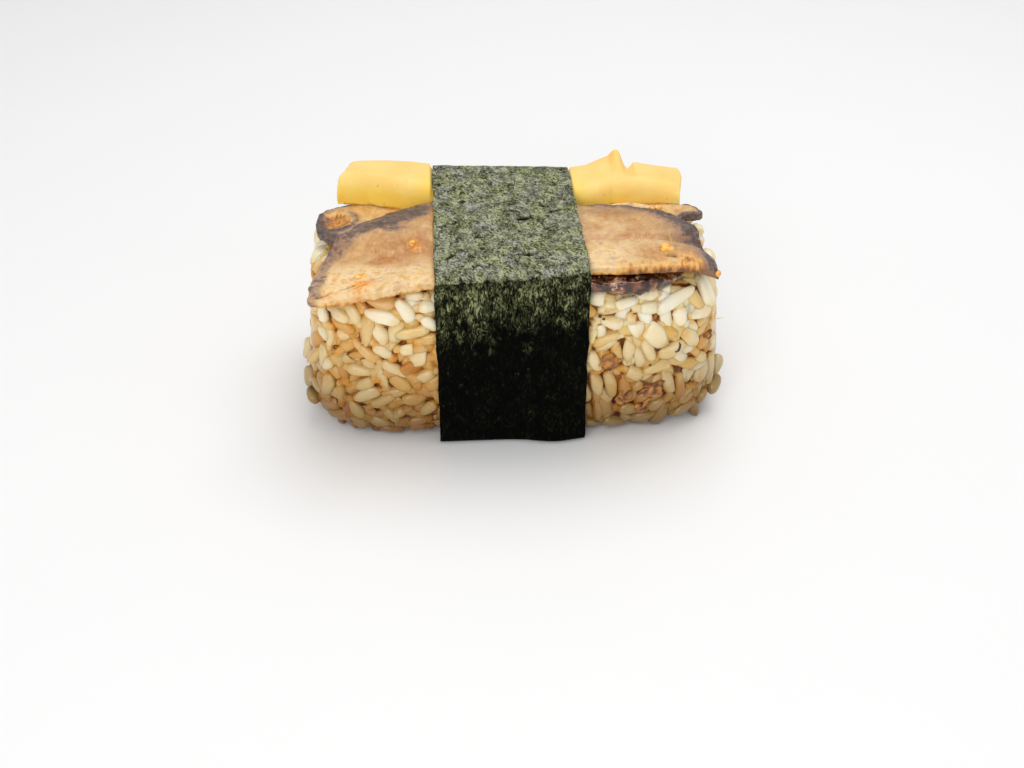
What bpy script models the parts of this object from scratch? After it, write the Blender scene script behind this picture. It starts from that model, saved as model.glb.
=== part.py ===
"""Pork chashu onigiri.

A pressed block of seasoned rice carries two slices of roast pork, a glazed strip
of pork under the upper one and a thick slab of omelette along the back. A band of
toasted seaweed goes round the whole stack and under the block.

Metres, +Z up. The block's length runs along X, its front faces -Y, and the origin
is on the ground under the middle of the whole.
"""
import math
import random

import bmesh
import bpy
import numpy as np
from mathutils import Matrix, Vector
from mathutils.bvhtree import BVHTree

MM = 0.001
OBJECT_NAME = "pork_chashu_onigiri"
SEED = 16

# Touching pieces keep this much air between them
GAP = 0.3 * MM

# Rice block: its core, then the grains that lie on it
CORE_X = 0.5 * MM
CORE_HALF_LENGTH = 44.9 * MM
CORE_HALF_DEPTH = 25.1 * MM
CORE_BOTTOM = 0.9 * MM
CORE_TOP = 36.85 * MM
CORE_CORNER_POWER = 4.6
CORE_EDGE_POWER = 8
CORE_FLARE = 0.038
GRAIN_HALF_LENGTH = 3.9 * MM
GRAIN_HALF_WIDTH = 1.8 * MM
GRAIN_ROW_HEIGHT = 4.6 * MM
GRAIN_SPACING = 6.2 * MM
RICE_TRIANGLES = 9000

# Seaweed band
BAND_X = -0.75 * MM
BAND_HALF_WIDTH = 16.6 * MM
BAND_HALF_DEPTH = 27.5 * MM
BAND_HEIGHT = 44.25 * MM
BAND_THICKNESS = 0.4 * MM
BAND_CORNER = 2.0 * MM

# Slices of pork: middle, half length, half depth and thickness
BACK_SLICE_MIDDLE = (0.3 * MM, 7.5 * MM)
BACK_SLICE_HALF = (45.0 * MM, 14.0 * MM)
BACK_SLICE_THICKNESS = 2.5 * MM
TIP_Y = 8.8 * MM
STRIP_MIDDLE = (22.5 * MM, -19.5 * MM)
STRIP_HALF = (15.0 * MM, 6.8 * MM)
STRIP_THICKNESS = 2.6 * MM
FRONT_SLICE_HALF_LENGTH = 44.0 * MM
FRONT_SLICE_THICKNESS = 2.9 * MM
SLICE_LIFT = BACK_SLICE_THICKNESS + 1.6 * GAP

# Omelette slab
SLAB_LEFT = -40.3 * MM
SLAB_RIGHT = 43.6 * MM
SLAB_BACK = 26.6 * MM
SLAB_ROUND = 4.4 * MM

# Its top and its front edge at places along X, and how its torn back edge rises and falls
SLAB_TOP_AT = [x * MM for x in (-40, -35, -28, -22, -17, 15, 22, 30, 33, 37, 43.6)]
SLAB_TOPS = [z * MM for z in (46.0, 46.2, 46.0, 45.6, 44.9, 43.3, 43.5, 43.9, 44.0, 43.3, 42.5)]
SLAB_FRONT_AT = [x * MM for x in (-40, -33, -28, -23, -17, 17, 22, 25.5, 37, 43.6)]
SLAB_FRONTS = [y * MM for y in (16.8, 16.5, 14.6, 13.2, 12.8, 12.6, 12.8, 15.0, 14.8, 13.4)]
TORN_AT = [x * MM for x in (18, 20.2, 22.1, 23.8, 25.6, 26.4, 27.2, 28.2, 29.0, 29.8, 30.8, 32, 34)]
TORN_RISE = [z * MM for z in (0, 0.3, 1.1, 1.8, 2.4, 3.4, 4.1, 3.6, 1.6, -0.4, -1.5, 0.2, 0)]

# Where its mesh is cut, closer together at its ends, beside the band and at the torn corner
SLAB_COLUMNS = [x * MM for x in (
    -40.3, -40.0, -39.2, -37, -33, -28, -23, -20, -18.7, -17.8, -16.5, -11, -5, 1, 7, 12, 15, 16.2,
    17.2, 19, 21, 23, 25, 26.4, 27.2, 28.2, 29.0, 29.8, 30.8, 32, 34, 37, 40, 42.4, 43.3, 43.6)]
SLAB_ROWS = (0.0, 0.03, 0.10, 0.22, 0.42, 0.68, 0.90, 1.0)


def smoothstep(low, high, value):
    """0 below low, 1 above high and an even S between them."""
    t = min(max((value - low) / (high - low), 0.0), 1.0)
    return t * t * (3 - 2 * t)


def ripple(x, y, wavelength, phase=0.0):
    """A gentle unevenness between -1 and 1."""
    k = 2 * math.pi / wavelength
    return (math.sin(k * x + phase) * math.cos(0.8 * k * y - phase)
            + 0.6 * math.sin(1.7 * k * (0.6 * x - y) + 2.1 * phase)) / 1.6


def oval_reach(x, y, middle, half, power):
    """1 on the outline of a rounded slice, less inside it and more outside."""
    across = abs((x - middle[0]) / half[0]) ** power
    along = abs((y - middle[1]) / half[1]) ** power
    return (across + along) ** (1 / power)


# Heights of the stack's layers, each worked out from the one below it

def rice_top(x, y):
    """The core's top: higher at the front, most where the band pulls it up."""
    u = (x - CORE_X) / CORE_HALF_LENGTH
    v = y / CORE_HALF_DEPTH
    slope = (-0.35 * u - 1.15 * v - 0.55 * u * v) * MM
    crown = 1.8 * MM * math.exp(-(((x + 12 * MM) / (18 * MM)) ** 2))
    return CORE_TOP + slope + crown * smoothstep(0.6, -0.9, v)


def flared(height):
    """How much wider the block has settled at a height from -1, its foot, to 1."""
    return 1 + CORE_FLARE * smoothstep(0.6, -0.7, height)


def lift_over(reach, spread):
    """How far a piece is lifted by a slice below it, easing off past its outline."""
    return smoothstep(spread, 1.08, reach)


def back_slice_bottom(x, y):
    """The slice's right tip is propped up on the grains below it."""
    propped = 1.1 * MM * smoothstep(33 * MM, 43 * MM, x) * smoothstep(4 * MM, 9 * MM, y)
    return rice_top(x, y) + GAP + propped


def strip_bottom(x, y):
    return rice_top(x, y) + GAP


def front_slice_bottom(x, y):
    over_back = lift_over(oval_reach(x, y, BACK_SLICE_MIDDLE, BACK_SLICE_HALF, 3), 1.4)
    over_strip = lift_over(oval_reach(x, y, STRIP_MIDDLE, STRIP_HALF, 2.6), 1.7)
    on_strip = STRIP_THICKNESS + 2.6 * GAP
    lift = min(SLICE_LIFT * over_back + on_strip * over_strip, on_strip)
    droop = 1.3 * MM * smoothstep(-20 * MM, -28 * MM, y) * smoothstep(-18 * MM, -40 * MM, x)
    return rice_top(x, y) + GAP + lift - droop


def slab_bottom(x, y):
    reach = oval_reach(x, y, BACK_SLICE_MIDDLE, BACK_SLICE_HALF, 3)
    return rice_top(x, y) + GAP + SLICE_LIFT * lift_over(reach, 1.7)


def slab_top(x, y):
    """Highest at the left, rounded down along its front, with a torn, upturned corner."""
    back = smoothstep(17 * MM, SLAB_BACK, y)
    high = np.interp(x, SLAB_TOP_AT, SLAB_TOPS) + back * np.interp(x, TORN_AT, TORN_RISE)
    high = min(high, band_ceiling(x, y, 0.4 * MM, 1.8 * MM))
    low = slab_bottom(x, y)
    front = np.interp(x, SLAB_FRONT_AT, SLAB_FRONTS)
    near = min(max((front + SLAB_ROUND - y) / SLAB_ROUND, 0.0), 1.0)
    return low + (high - low) * max((1 - near ** 2.4) ** (1 / 2.4), 0.16)


def slab_end(side, y):
    """Where the slab ends on its left, -1, or right, 1: both ends are cut aslant."""
    if side < 0:
        return SLAB_LEFT + 2.7 * MM * smoothstep(16 * MM, 26 * MM, y)
    return SLAB_RIGHT - 1.7 * MM * smoothstep(24 * MM, 14 * MM, y)


def band_top(x, y):
    """The band's upper height, twisted a little by what lies under it."""
    u = (x - BAND_X) / BAND_HALF_WIDTH
    v = y / BAND_HALF_DEPTH
    return BAND_HEIGHT + (0.05 * u + 0.05 * v - 0.75 * u * v) * MM


def band_ceiling(x, y, held=4.5 * MM, free=9 * MM):
    """The highest a piece may reach under the band and up to the distance held beside it.

    From the distance free on, nothing holds it down.
    """
    inner = BAND_HALF_DEPTH - BAND_THICKNESS - GAP
    radius = BAND_CORNER - BAND_THICKNESS
    past = min(max(abs(y) - inner + radius, 0), radius)
    drop = radius - math.sqrt(radius ** 2 - past ** 2)
    away = smoothstep(held, free, abs(x - BAND_X) - BAND_HALF_WIDTH)
    return band_top(x, y) - BAND_THICKNESS - 2 * GAP - drop + 6 * MM * away


# Outlines seen from above, as points at an angle round the slice

def oval_outline(angle, middle, half, power):
    c, s = math.cos(angle), math.sin(angle)
    x = math.copysign(abs(c) ** (2 / power), c)
    y = math.copysign(abs(s) ** (2 / power), s)
    return middle[0] + half[0] * x, middle[1] + half[1] * y


def front_slice_outline(angle):
    """Half of a round slice: a curved crust at the back, a straight cut at the front."""
    c, s = math.cos(angle), math.sin(angle)
    x = FRONT_SLICE_HALF_LENGTH * math.copysign(abs(c) ** 0.7, c)
    u = x / FRONT_SLICE_HALF_LENGTH
    right_half = smoothstep(-0.1, 0.35, u)
    left_end = smoothstep(-0.42, -0.7, u)
    cut = (-25.6 + 1.2 * right_half - 0.9 * left_end + 0.25 * math.sin(9 * u)) * MM
    power = 2.35 if x < 0 else 3.8
    depth = (36.6 - 2.6 * u) * MM
    if s >= 0:
        y = cut + depth * (1 - abs(u) ** power) ** (1 / power)
    else:
        y = cut - 0.5 * MM * (1 - abs(u) ** 6)
    tug = 1.3 * MM * x / BAND_HALF_WIDTH * math.exp(-(((abs(x) - 17 * MM) / (6 * MM)) ** 2))
    return x, y - (tug if s >= 0 else 0)


def centre_of(outline):
    points = [outline(2 * math.pi * k / 72) for k in range(72)]
    return sum(p[0] for p in points) / 72, sum(p[1] for p in points) / 72


# Making the objects

def clear_scene():
    for thing in list(bpy.data.objects):
        bpy.data.objects.remove(thing, do_unlink=True)


def new_collection(name):
    collection = bpy.data.collections.new(name)
    bpy.context.scene.collection.children.link(collection)
    return collection


def food_material(name, colour, roughness):
    material = bpy.data.materials.new(name)
    material.use_nodes = True
    shader = material.node_tree.nodes["Principled BSDF"]
    shader.inputs["Base Color"].default_value = (*colour, 1.0)
    shader.inputs["Roughness"].default_value = roughness
    shader.inputs["Metallic"].default_value = 0.0
    return material


def object_from(name, bm, collection, material):
    """A named object from a finished bmesh, shaded smooth."""
    mesh = bpy.data.meshes.new(name)
    bm.to_mesh(mesh)
    bm.free()
    mesh.shade_smooth()
    thing = bpy.data.objects.new(name, mesh)
    thing.data.materials.append(material)
    collection.objects.link(thing)
    return thing


def flattened_ball(segments, rings, ring_power, height_power, outline, bottom, top):
    """A ball pressed into a slab: its outline from above, its bottom and its top.

    ring_power and height_power set how square its edge is.
    """
    bm = bmesh.new()
    bmesh.ops.create_uvsphere(bm, u_segments=segments, v_segments=rings, radius=1.0)
    middle = centre_of(outline)
    for vertex in bm.verts:
        reach = min(math.hypot(vertex.co.x, vertex.co.y), 1.0) ** ring_power
        height = math.copysign(abs(vertex.co.z) ** height_power, vertex.co.z)
        edge = outline(math.atan2(vertex.co.y, vertex.co.x))
        x = middle[0] + (edge[0] - middle[0]) * reach
        y = middle[1] + (edge[1] - middle[1]) * reach
        low, high = bottom(x, y), top(x, y)
        vertex.co = (x, y, (low + high) / 2 + (high - low) / 2 * height)
    return bm


def make_core(collection, material):
    """The bare block of rice: a cube of small squares drawn in to rounded edges."""
    bm = bmesh.new()
    bmesh.ops.create_cube(bm, size=2.0)
    bmesh.ops.subdivide_edges(bm, edges=bm.edges, cuts=7, use_grid_fill=True)
    for vertex in bm.verts:
        u, v, w = vertex.co
        plan = (abs(u) ** CORE_CORNER_POWER + abs(v) ** CORE_CORNER_POWER) ** (1 / CORE_CORNER_POWER)
        reach = (plan ** CORE_EDGE_POWER + abs(w) ** CORE_EDGE_POWER) ** (1 / CORE_EDGE_POWER)
        x = CORE_X + CORE_HALF_LENGTH * flared(w) * u / reach
        y = CORE_HALF_DEPTH * v / reach
        swell = 1 - smoothstep(13 * MM, 17 * MM, abs(x - BAND_X))
        y *= 1 + 0.04 * swell
        high = rice_top(x, y)
        vertex.co = (x, y, (CORE_BOTTOM + high) / 2 + (high - CORE_BOTTOM) / 2 * w / reach)
    return object_from("rice", bm, collection, material)


def make_back_slice(collection, material):
    def outline(angle):
        """An oval whose right end is cut away at the front and runs out to a tip."""
        x, y = oval_outline(angle, BACK_SLICE_MIDDLE, BACK_SLICE_HALF, 3)
        x += 1.2 * MM * smoothstep(38 * MM, 45 * MM, x)
        slim = 0.85 if y < TIP_Y else 0.35
        y += (TIP_Y - y) * slim * smoothstep(34 * MM, 42 * MM, x)
        return x, y + 0.5 * MM * ripple(x, y, 23 * MM, 0.7)

    def top(x, y):
        return back_slice_bottom(x, y) + BACK_SLICE_THICKNESS

    bm = flattened_ball(36, 10, 0.8, 0.25, outline, back_slice_bottom, top)
    return object_from("pork_back", bm, collection, material)


def make_strip(collection, material):
    """The dark glazed strip, tapering to its right end."""
    def outline(angle):
        x, y = oval_outline(angle, STRIP_MIDDLE, STRIP_HALF, 2.6)
        along = (x - STRIP_MIDDLE[0]) / STRIP_HALF[0]
        return x, y + 2.2 * MM * smoothstep(0.2, 1.0, along)

    def top(x, y):
        along = (x - STRIP_MIDDLE[0]) / STRIP_HALF[0]
        taper = 1 - 0.45 * smoothstep(0.3, 1.0, along)
        return strip_bottom(x, y) + STRIP_THICKNESS * taper

    bm = flattened_ball(26, 8, 0.6, 0.22, outline, strip_bottom, top)
    return object_from("pork_strip", bm, collection, material)


def make_front_slice(collection, material):
    def top(x, y):
        beyond_band = smoothstep(17 * MM, 24 * MM, abs(x - BAND_X))
        uneven = 0.25 * MM * ripple(x, y, 19 * MM, 1.9) * beyond_band
        free = front_slice_bottom(x, y) + FRONT_SLICE_THICKNESS + uneven
        return min(free, band_ceiling(x, y))

    bm = flattened_ball(46, 12, 0.8, 0.25, front_slice_outline, front_slice_bottom, top)
    return object_from("pork_front", bm, collection, material)


def make_slab(collection, material):
    """The omelette: a grid drawn out into a slab whose edges close in a round."""
    bm = bmesh.new()
    columns, rows = len(SLAB_COLUMNS) - 1, len(SLAB_ROWS) - 1
    bmesh.ops.create_grid(bm, x_segments=columns, y_segments=rows, size=1.0)
    lower = list(bm.faces)
    made = bmesh.ops.extrude_face_region(bm, geom=lower, use_keep_orig=True)
    upper = {item for item in made["geom"] if isinstance(item, bmesh.types.BMVert)}
    for vertex in bm.verts:
        column = round((vertex.co.x + 1) / 2 * columns)
        row = round((vertex.co.y + 1) / 2 * rows)
        x = SLAB_COLUMNS[column]
        front = np.interp(x, SLAB_FRONT_AT, SLAB_FRONTS)
        y = front + (SLAB_BACK - front) * SLAB_ROWS[row]
        left, right = slab_end(-1, y), slab_end(1, y)
        if column in (0, 1, 2, columns - 2, columns - 1, columns):
            x += left - SLAB_LEFT if column < 3 else right - SLAB_RIGHT
        rim = 0.55 if column in (0, columns) or row == rows else 1.0
        low, high = slab_bottom(x, y), slab_top(x, y)
        side = 1 if vertex in upper else -1
        vertex.co = (x, y, (low + high) / 2 + side * (high - low) / 2 * rim)
    bmesh.ops.recalc_face_normals(bm, faces=bm.faces)
    return object_from("egg", bm, collection, material)


def rounded_section(half_depth, height, radius, arc_steps, side_steps, base_steps):
    """A rounded rectangle in Y and Z that stands on Z = 0, run anticlockwise."""
    corners = [(half_depth - radius, radius, -90), (half_depth - radius, height - radius, 0),
               (radius - half_depth, height - radius, 90), (radius - half_depth, radius, 180)]
    straights = [side_steps, base_steps, side_steps, base_steps]
    points = []
    for index, (y, z, start) in enumerate(corners):
        for step in range(arc_steps + 1):
            angle = math.radians(start + 90 * step / arc_steps)
            points.append((y + radius * math.cos(angle), z + radius * math.sin(angle)))
        next_y, next_z, next_start = corners[(index + 1) % 4]
        angle = math.radians(next_start)
        end = (next_y + radius * math.cos(angle), next_z + radius * math.sin(angle))
        begin = points[-1]
        for step in range(1, straights[index]):
            t = step / straights[index]
            points.append((begin[0] + (end[0] - begin[0]) * t, begin[1] + (end[1] - begin[1]) * t))
    return points


def make_band(collection, material):
    """The seaweed: a tube without ends, bent to the stack's section and thickened."""
    section = rounded_section(BAND_HALF_DEPTH, BAND_HEIGHT, BAND_CORNER, 3, 9, 9)
    count = len(section)
    columns = 6
    bm = bmesh.new()
    bmesh.ops.create_cone(bm, cap_ends=False, segments=count, radius1=1, radius2=1, depth=2)
    long_edges = [e for e in bm.edges if abs(e.verts[0].co.z - e.verts[1].co.z) > 1]
    bmesh.ops.subdivide_edges(bm, edges=long_edges, cuts=columns - 1, use_grid_fill=True)
    for vertex in bm.verts:
        turn = math.atan2(vertex.co.y, vertex.co.x) / (2 * math.pi)
        y, z = section[round(turn * count) % count]
        x = BAND_X + BAND_HALF_WIDTH * vertex.co.z
        z *= band_top(x, y) / BAND_HEIGHT
        upright = smoothstep(BAND_HALF_DEPTH - 4 * MM, BAND_HALF_DEPTH, abs(y))
        wave = 0.2 * MM * ripple(x, z, 17 * MM, 0.4) * smoothstep(0, 8 * MM, z)
        flare = 1.5 * MM * math.exp(-(((x - 9 * MM) / (6 * MM)) ** 2)) if y < 0 else 0
        y += math.copysign(1, y) * upright * (wave + flare * smoothstep(14 * MM, 0, z))
        edge = abs(vertex.co.z) > 0.99
        x += math.copysign(0.25 * MM * math.sin(31 * turn * math.pi), vertex.co.z) if edge else 0
        vertex.co = (x, y, z)
    bmesh.ops.recalc_face_normals(bm, faces=bm.faces)
    bmesh.ops.triangulate(bm, faces=bm.faces)
    band = object_from("nori", bm, collection, material)
    skin = band.modifiers.new("thickness", "SOLIDIFY")
    skin.thickness = BAND_THICKNESS
    skin.offset = -1.0
    skin.use_even_offset = True
    return band


# Grains of rice

def surface_of(thing, depsgraph):
    return BVHTree.FromObject(thing, depsgraph)


def grain_mesh(size, axes, centre):
    """One grain: a ball of few sides, stretched along the first of its axes."""
    bm = bmesh.new()
    bmesh.ops.create_uvsphere(bm, u_segments=5, v_segments=4, radius=1.0)
    long, wide, flat = axes
    for vertex in bm.verts:
        a, b, c = vertex.co.z * size[0], vertex.co.x * size[1], vertex.co.y * size[2]
        vertex.co = centre + long * a + wide * b + flat * c
    return bm


def side_places(draw):
    """Places and outward directions for grains all round the block's sides."""
    steps = 1440
    half = (CORE_HALF_LENGTH, CORE_HALF_DEPTH)
    ring = np.array([oval_outline(2 * math.pi * k / steps, (0, 0), half, CORE_CORNER_POWER)
                     for k in range(steps + 1)])
    run = np.concatenate([[0], np.cumsum(np.hypot(*np.diff(ring, axis=0).T))])
    rows = int((CORE_TOP - CORE_BOTTOM) / GRAIN_ROW_HEIGHT) + 1
    across = int(run[-1] / GRAIN_SPACING)
    for row in range(rows):
        for k in range(across):
            place = (k + 0.5 * (row % 2) + draw.uniform(-0.28, 0.28)) / across % 1.0
            x = np.interp(place * run[-1], run, ring[:, 0])
            y = np.interp(place * run[-1], run, ring[:, 1])
            ahead = (place + 0.002) % 1.0 * run[-1]
            tangent = Vector((np.interp(ahead, run, ring[:, 0]) - x,
                              np.interp(ahead, run, ring[:, 1]) - y, 0)).normalized()
            outward = Vector((tangent.y, -tangent.x, 0))
            share = (row + 0.5 + draw.uniform(-0.3, 0.3)) / rows
            z = CORE_BOTTOM + 1.4 * MM + (CORE_TOP - CORE_BOTTOM - 2.4 * MM) * share
            inset = 1.2 * MM * (2 * abs(share - 0.5)) ** 6
            wide_x = CORE_X + x * flared(2 * share - 1)
            yield Vector((wide_x, y, z)) - outward * inset, outward


def top_places(draw):
    """Places on the top's bare patches at both ends of the block."""
    for side in (-1, 1):
        for row in range(9):
            for column in range(2):
                inward = (0.5 + 4.4 * column + draw.uniform(-0.8, 0.8)) * MM
                x = CORE_X + side * (CORE_HALF_LENGTH - inward)
                y = (-22 + 5.4 * row + draw.uniform(-1.0, 1.0)) * MM
                yield Vector((x, y, rice_top(x, y) - 0.6 * MM)), Vector((0, 0, 1))


def grain_axes(outward, draw):
    """A grain's three axes: mostly lying on the surface, now and then poking out."""
    side = outward.orthogonal().normalized()
    side = Matrix.Rotation(draw.uniform(0, math.pi), 3, outward) @ side
    tilt = math.radians(draw.uniform(35, 55) if draw.random() < 0.12 else draw.gauss(0, 14))
    long = side * math.cos(tilt) + outward * math.sin(tilt)
    wide = outward.cross(long).normalized()
    return long, wide, long.cross(wide)


def make_grains(core, toppings, collection, material):
    """Grains that lie clear of every topping and of the ground, as loose objects."""
    draw = random.Random(SEED)
    depsgraph = bpy.context.evaluated_depsgraph_get()
    surfaces = [surface_of(thing, depsgraph) for thing in toppings]
    grains = bpy.data.collections.new("grains")
    collection.children.link(grains)
    for spot, outward in [*side_places(draw), *top_places(draw)]:
        stretch = draw.uniform(0.88, 1.12)
        size = (GRAIN_HALF_LENGTH * stretch, GRAIN_HALF_WIDTH * draw.uniform(0.92, 1.1),
                GRAIN_HALF_WIDTH * draw.uniform(0.82, 0.98))
        axes = grain_axes(outward, draw)
        centre = spot + outward * draw.uniform(-0.1, 0.7) * MM
        if abs(centre.x - BAND_X) < BAND_HALF_WIDTH and abs(outward.x) < 0.7:
            continue
        for attempt in range(4):
            swollen = grain_mesh([s + 1.4 * GAP for s in size], axes, centre)
            hull = BVHTree.FromBMesh(swollen)
            lowest = min(v.co.z for v in swollen.verts)
            swollen.free()
            if lowest > 0.2 * MM and not any(hull.overlap(s) for s in surfaces):
                bm = grain_mesh(size, axes, centre)
                object_from(f"grain_{len(grains.objects)}", bm, grains, material)
                break
            size = [s * 0.9 for s in size]
            away = math.copysign(1.0 * MM, centre.x - BAND_X)
            centre = centre + Vector((away, 0, 0.6 * MM if lowest < 0.2 * MM else -0.9 * MM))
    return grains


def keep_largest_body(thing):
    """Drops loose scraps and fills sealed hollows: only the outer skin stays."""
    bm = bmesh.new()
    bm.from_mesh(thing.data)
    left = set(bm.verts)
    bodies = []
    while left:
        body = set()
        front = [left.pop()]
        while front:
            vertex = front.pop()
            body.add(vertex)
            near = [e.other_vert(vertex) for e in vertex.link_edges]
            front += [v for v in near if v in left]
            left.difference_update(near)
        bodies.append(body)
    largest = max(bodies, key=len)
    bmesh.ops.delete(bm, geom=[v for v in bm.verts if v not in largest], context="VERTS")
    bm.to_mesh(thing.data)
    bm.free()


def thin_out(thing, triangles):
    """Collapses the short edges that the union leaves, down to a number of triangles."""
    thing.data.calc_loop_triangles()
    fewer = thing.modifiers.new("thin_out", "DECIMATE")
    fewer.decimate_type = "COLLAPSE"
    fewer.use_collapse_triangulate = True
    fewer.ratio = min(1.0, triangles / len(thing.data.loop_triangles))
    depsgraph = bpy.context.evaluated_depsgraph_get()
    thinned = bpy.data.meshes.new_from_object(thing.evaluated_get(depsgraph))
    thing.modifiers.remove(fewer)
    thing.data = thinned


def fuse_grains(core, grains):
    """One union of the core with all its grains, then the loose grains go."""
    union = core.modifiers.new("grains", "BOOLEAN")
    union.operation = "UNION"
    union.operand_type = "COLLECTION"
    union.collection = grains
    union.solver = "EXACT"
    depsgraph = bpy.context.evaluated_depsgraph_get()
    fused = bpy.data.meshes.new_from_object(core.evaluated_get(depsgraph))
    core.modifiers.remove(union)
    core.data = fused
    for grain in list(grains.objects):
        bpy.data.objects.remove(grain, do_unlink=True)
    bpy.data.collections.remove(grains)
    keep_largest_body(core)
    thin_out(core, RICE_TRIANGLES)
    core.data.shade_smooth()


def stand_on_origin(things, collection):
    """Hangs every piece on one empty, so that the whole is centred over the origin."""
    depsgraph = bpy.context.evaluated_depsgraph_get()
    points = []
    for thing in things:
        evaluated = thing.evaluated_get(depsgraph)
        mesh = evaluated.to_mesh()
        points += [evaluated.matrix_world @ v.co for v in mesh.vertices]
        evaluated.to_mesh_clear()
    low = [min(p[axis] for p in points) for axis in range(3)]
    high = [max(p[axis] for p in points) for axis in range(3)]
    frame = bpy.data.objects.new("onigiri_frame", None)
    collection.objects.link(frame)
    frame.location = (-(low[0] + high[0]) / 2, -(low[1] + high[1]) / 2, -low[2])
    for thing in things:
        thing.parent = frame


def main():
    clear_scene()
    parts = new_collection(OBJECT_NAME)
    rice_white = food_material("cooked_rice", (0.80, 0.71, 0.50), 0.45)
    pork_tan = food_material("roast_pork", (0.62, 0.40, 0.20), 0.5)
    pork_brown = food_material("roast_pork_shaded", (0.50, 0.29, 0.14), 0.5)
    pork_glazed = food_material("glazed_pork", (0.10, 0.035, 0.03), 0.3)
    omelette = food_material("omelette", (0.93, 0.60, 0.16), 0.4)
    seaweed = food_material("toasted_seaweed", (0.045, 0.06, 0.035), 0.5)

    core = make_core(parts, rice_white)
    toppings = [
        make_back_slice(parts, pork_brown),
        make_strip(parts, pork_glazed),
        make_front_slice(parts, pork_tan),
        make_slab(parts, omelette),
        make_band(parts, seaweed),
    ]
    grains = make_grains(core, toppings, parts, rice_white)
    fuse_grains(core, grains)
    stand_on_origin([core, *toppings], parts)


main()
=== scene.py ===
"""The looks of the pork chashu onigiri.

Every piece is modelled in the stack's own coordinates, metres, with +X along the
block, its front towards -Y and the ground at Z = 0. STACK_AT puts that origin where
the frame has it.
"""

import math
import random

import bmesh
import bpy
import numpy as np
from mathutils import Matrix, Vector, kdtree, noise
from mathutils.bvhtree import BVHTree


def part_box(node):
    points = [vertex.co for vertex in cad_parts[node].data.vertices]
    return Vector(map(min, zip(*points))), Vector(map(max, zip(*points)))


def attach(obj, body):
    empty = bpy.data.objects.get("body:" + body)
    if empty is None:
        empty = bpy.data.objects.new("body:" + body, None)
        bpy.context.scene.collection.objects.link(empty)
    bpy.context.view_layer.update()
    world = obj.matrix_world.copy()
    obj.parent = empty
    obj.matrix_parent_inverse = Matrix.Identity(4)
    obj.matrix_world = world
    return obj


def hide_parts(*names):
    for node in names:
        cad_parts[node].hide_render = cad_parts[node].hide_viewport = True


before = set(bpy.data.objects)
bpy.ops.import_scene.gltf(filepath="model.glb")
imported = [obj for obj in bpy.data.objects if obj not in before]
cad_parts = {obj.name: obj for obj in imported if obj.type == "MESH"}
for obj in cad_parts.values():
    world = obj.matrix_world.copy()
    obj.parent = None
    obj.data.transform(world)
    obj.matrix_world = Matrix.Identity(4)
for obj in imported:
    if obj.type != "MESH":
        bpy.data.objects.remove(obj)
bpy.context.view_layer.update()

MM = 0.001
SEED = 5


def in_mm(*lengths):
    return [length * MM for length in lengths]


# Stack: the same driving sizes as the solids, but for a slab up to 0.6 mm higher
CORE_X = 0.5 * MM
CORE_HALF_LENGTH = 44.9 * MM
CORE_HALF_DEPTH = 25.1 * MM
CORE_BOTTOM = 0.9 * MM
CORE_TOP = 36.85 * MM
CORE_CORNER_POWER = 4.6
CORE_EDGE_POWER = 8
CORE_FLARE = 0.038
GAP = 0.3 * MM
BAND_X = -0.75 * MM
BAND_HALF_WIDTH = 16.6 * MM
BAND_HALF_DEPTH = 27.5 * MM
BAND_HEIGHT = 44.25 * MM
BAND_THICKNESS = 0.4 * MM
BAND_CORNER = 2.0 * MM
BACK_SLICE_MIDDLE = (0.3 * MM, 7.5 * MM)
BACK_SLICE_HALF = (45.0 * MM, 14.0 * MM)
BACK_SLICE_THICKNESS = 2.5 * MM
TIP_Y = 8.8 * MM
STRIP_MIDDLE = (22.5 * MM, -19.5 * MM)
STRIP_HALF = (15.0 * MM, 6.8 * MM)
STRIP_THICKNESS = 2.6 * MM
FRONT_SLICE_HALF_LENGTH = 44.0 * MM
FRONT_SLICE_THICKNESS = 2.9 * MM
SLICE_LIFT = BACK_SLICE_THICKNESS + 1.6 * GAP
SLAB_LEFT = -40.3 * MM
SLAB_RIGHT = 43.6 * MM
SLAB_BACK = 26.6 * MM
SLAB_ROUND = 4.4 * MM

# The slab's top and its front edge at places along X, and how its torn back edge rises and falls
SLAB_TOP_AT = in_mm(-40, -35, -28, -22, -17, 15, 22, 30, 33, 37, 43.6)
SLAB_TOPS = in_mm(46.6, 46.8, 46.6, 46.1, 45.3, 43.6, 43.9, 44.3, 44.4, 43.7, 42.8)
SLAB_FRONT_AT = in_mm(-40, -33, -28, -23, -17, 17, 22, 25.5, 37, 43.6)
SLAB_FRONTS = in_mm(16.8, 16.5, 14.6, 13.2, 12.8, 12.6, 12.8, 15.0, 14.8, 13.4)
TORN_AT = in_mm(18, 20.2, 22.1, 23.8, 25.6, 26.4, 27.2, 28.2, 29.0, 29.8, 30.8, 32, 34)
TORN_RISE = in_mm(0, 0.3, 1.1, 1.8, 2.4, 3.4, 4.1, 3.6, 1.6, -0.4, -1.5, 0.2, 0)

# Grains of rice: size, unevenness, area of the core to each, and room left round the marked ones
GRAIN_HALF_LENGTH = 3.75 * MM
GRAIN_HALF_WIDTH = 1.9 * MM
GRAIN_LUMPS = 3
GRAIN_DENTS = 4
GRAIN_AREA = 11.0 * MM * MM
GRAIN_CLEARANCE = 1.9 * MM

# A marked grain reaches past its mark, and gives way less than the others
PAST_MARK = 1.3 * MM
MARKED_HOLD = 0.1

# Where the front's grains lie, how far off the core the mould pressed grains flat, and the ground's gap
FRONT_GRAINS_Y = -26.8 * MM
PRESSED_AT = 1.6 * MM
GROUND_GAP = 0.25 * MM

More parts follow.
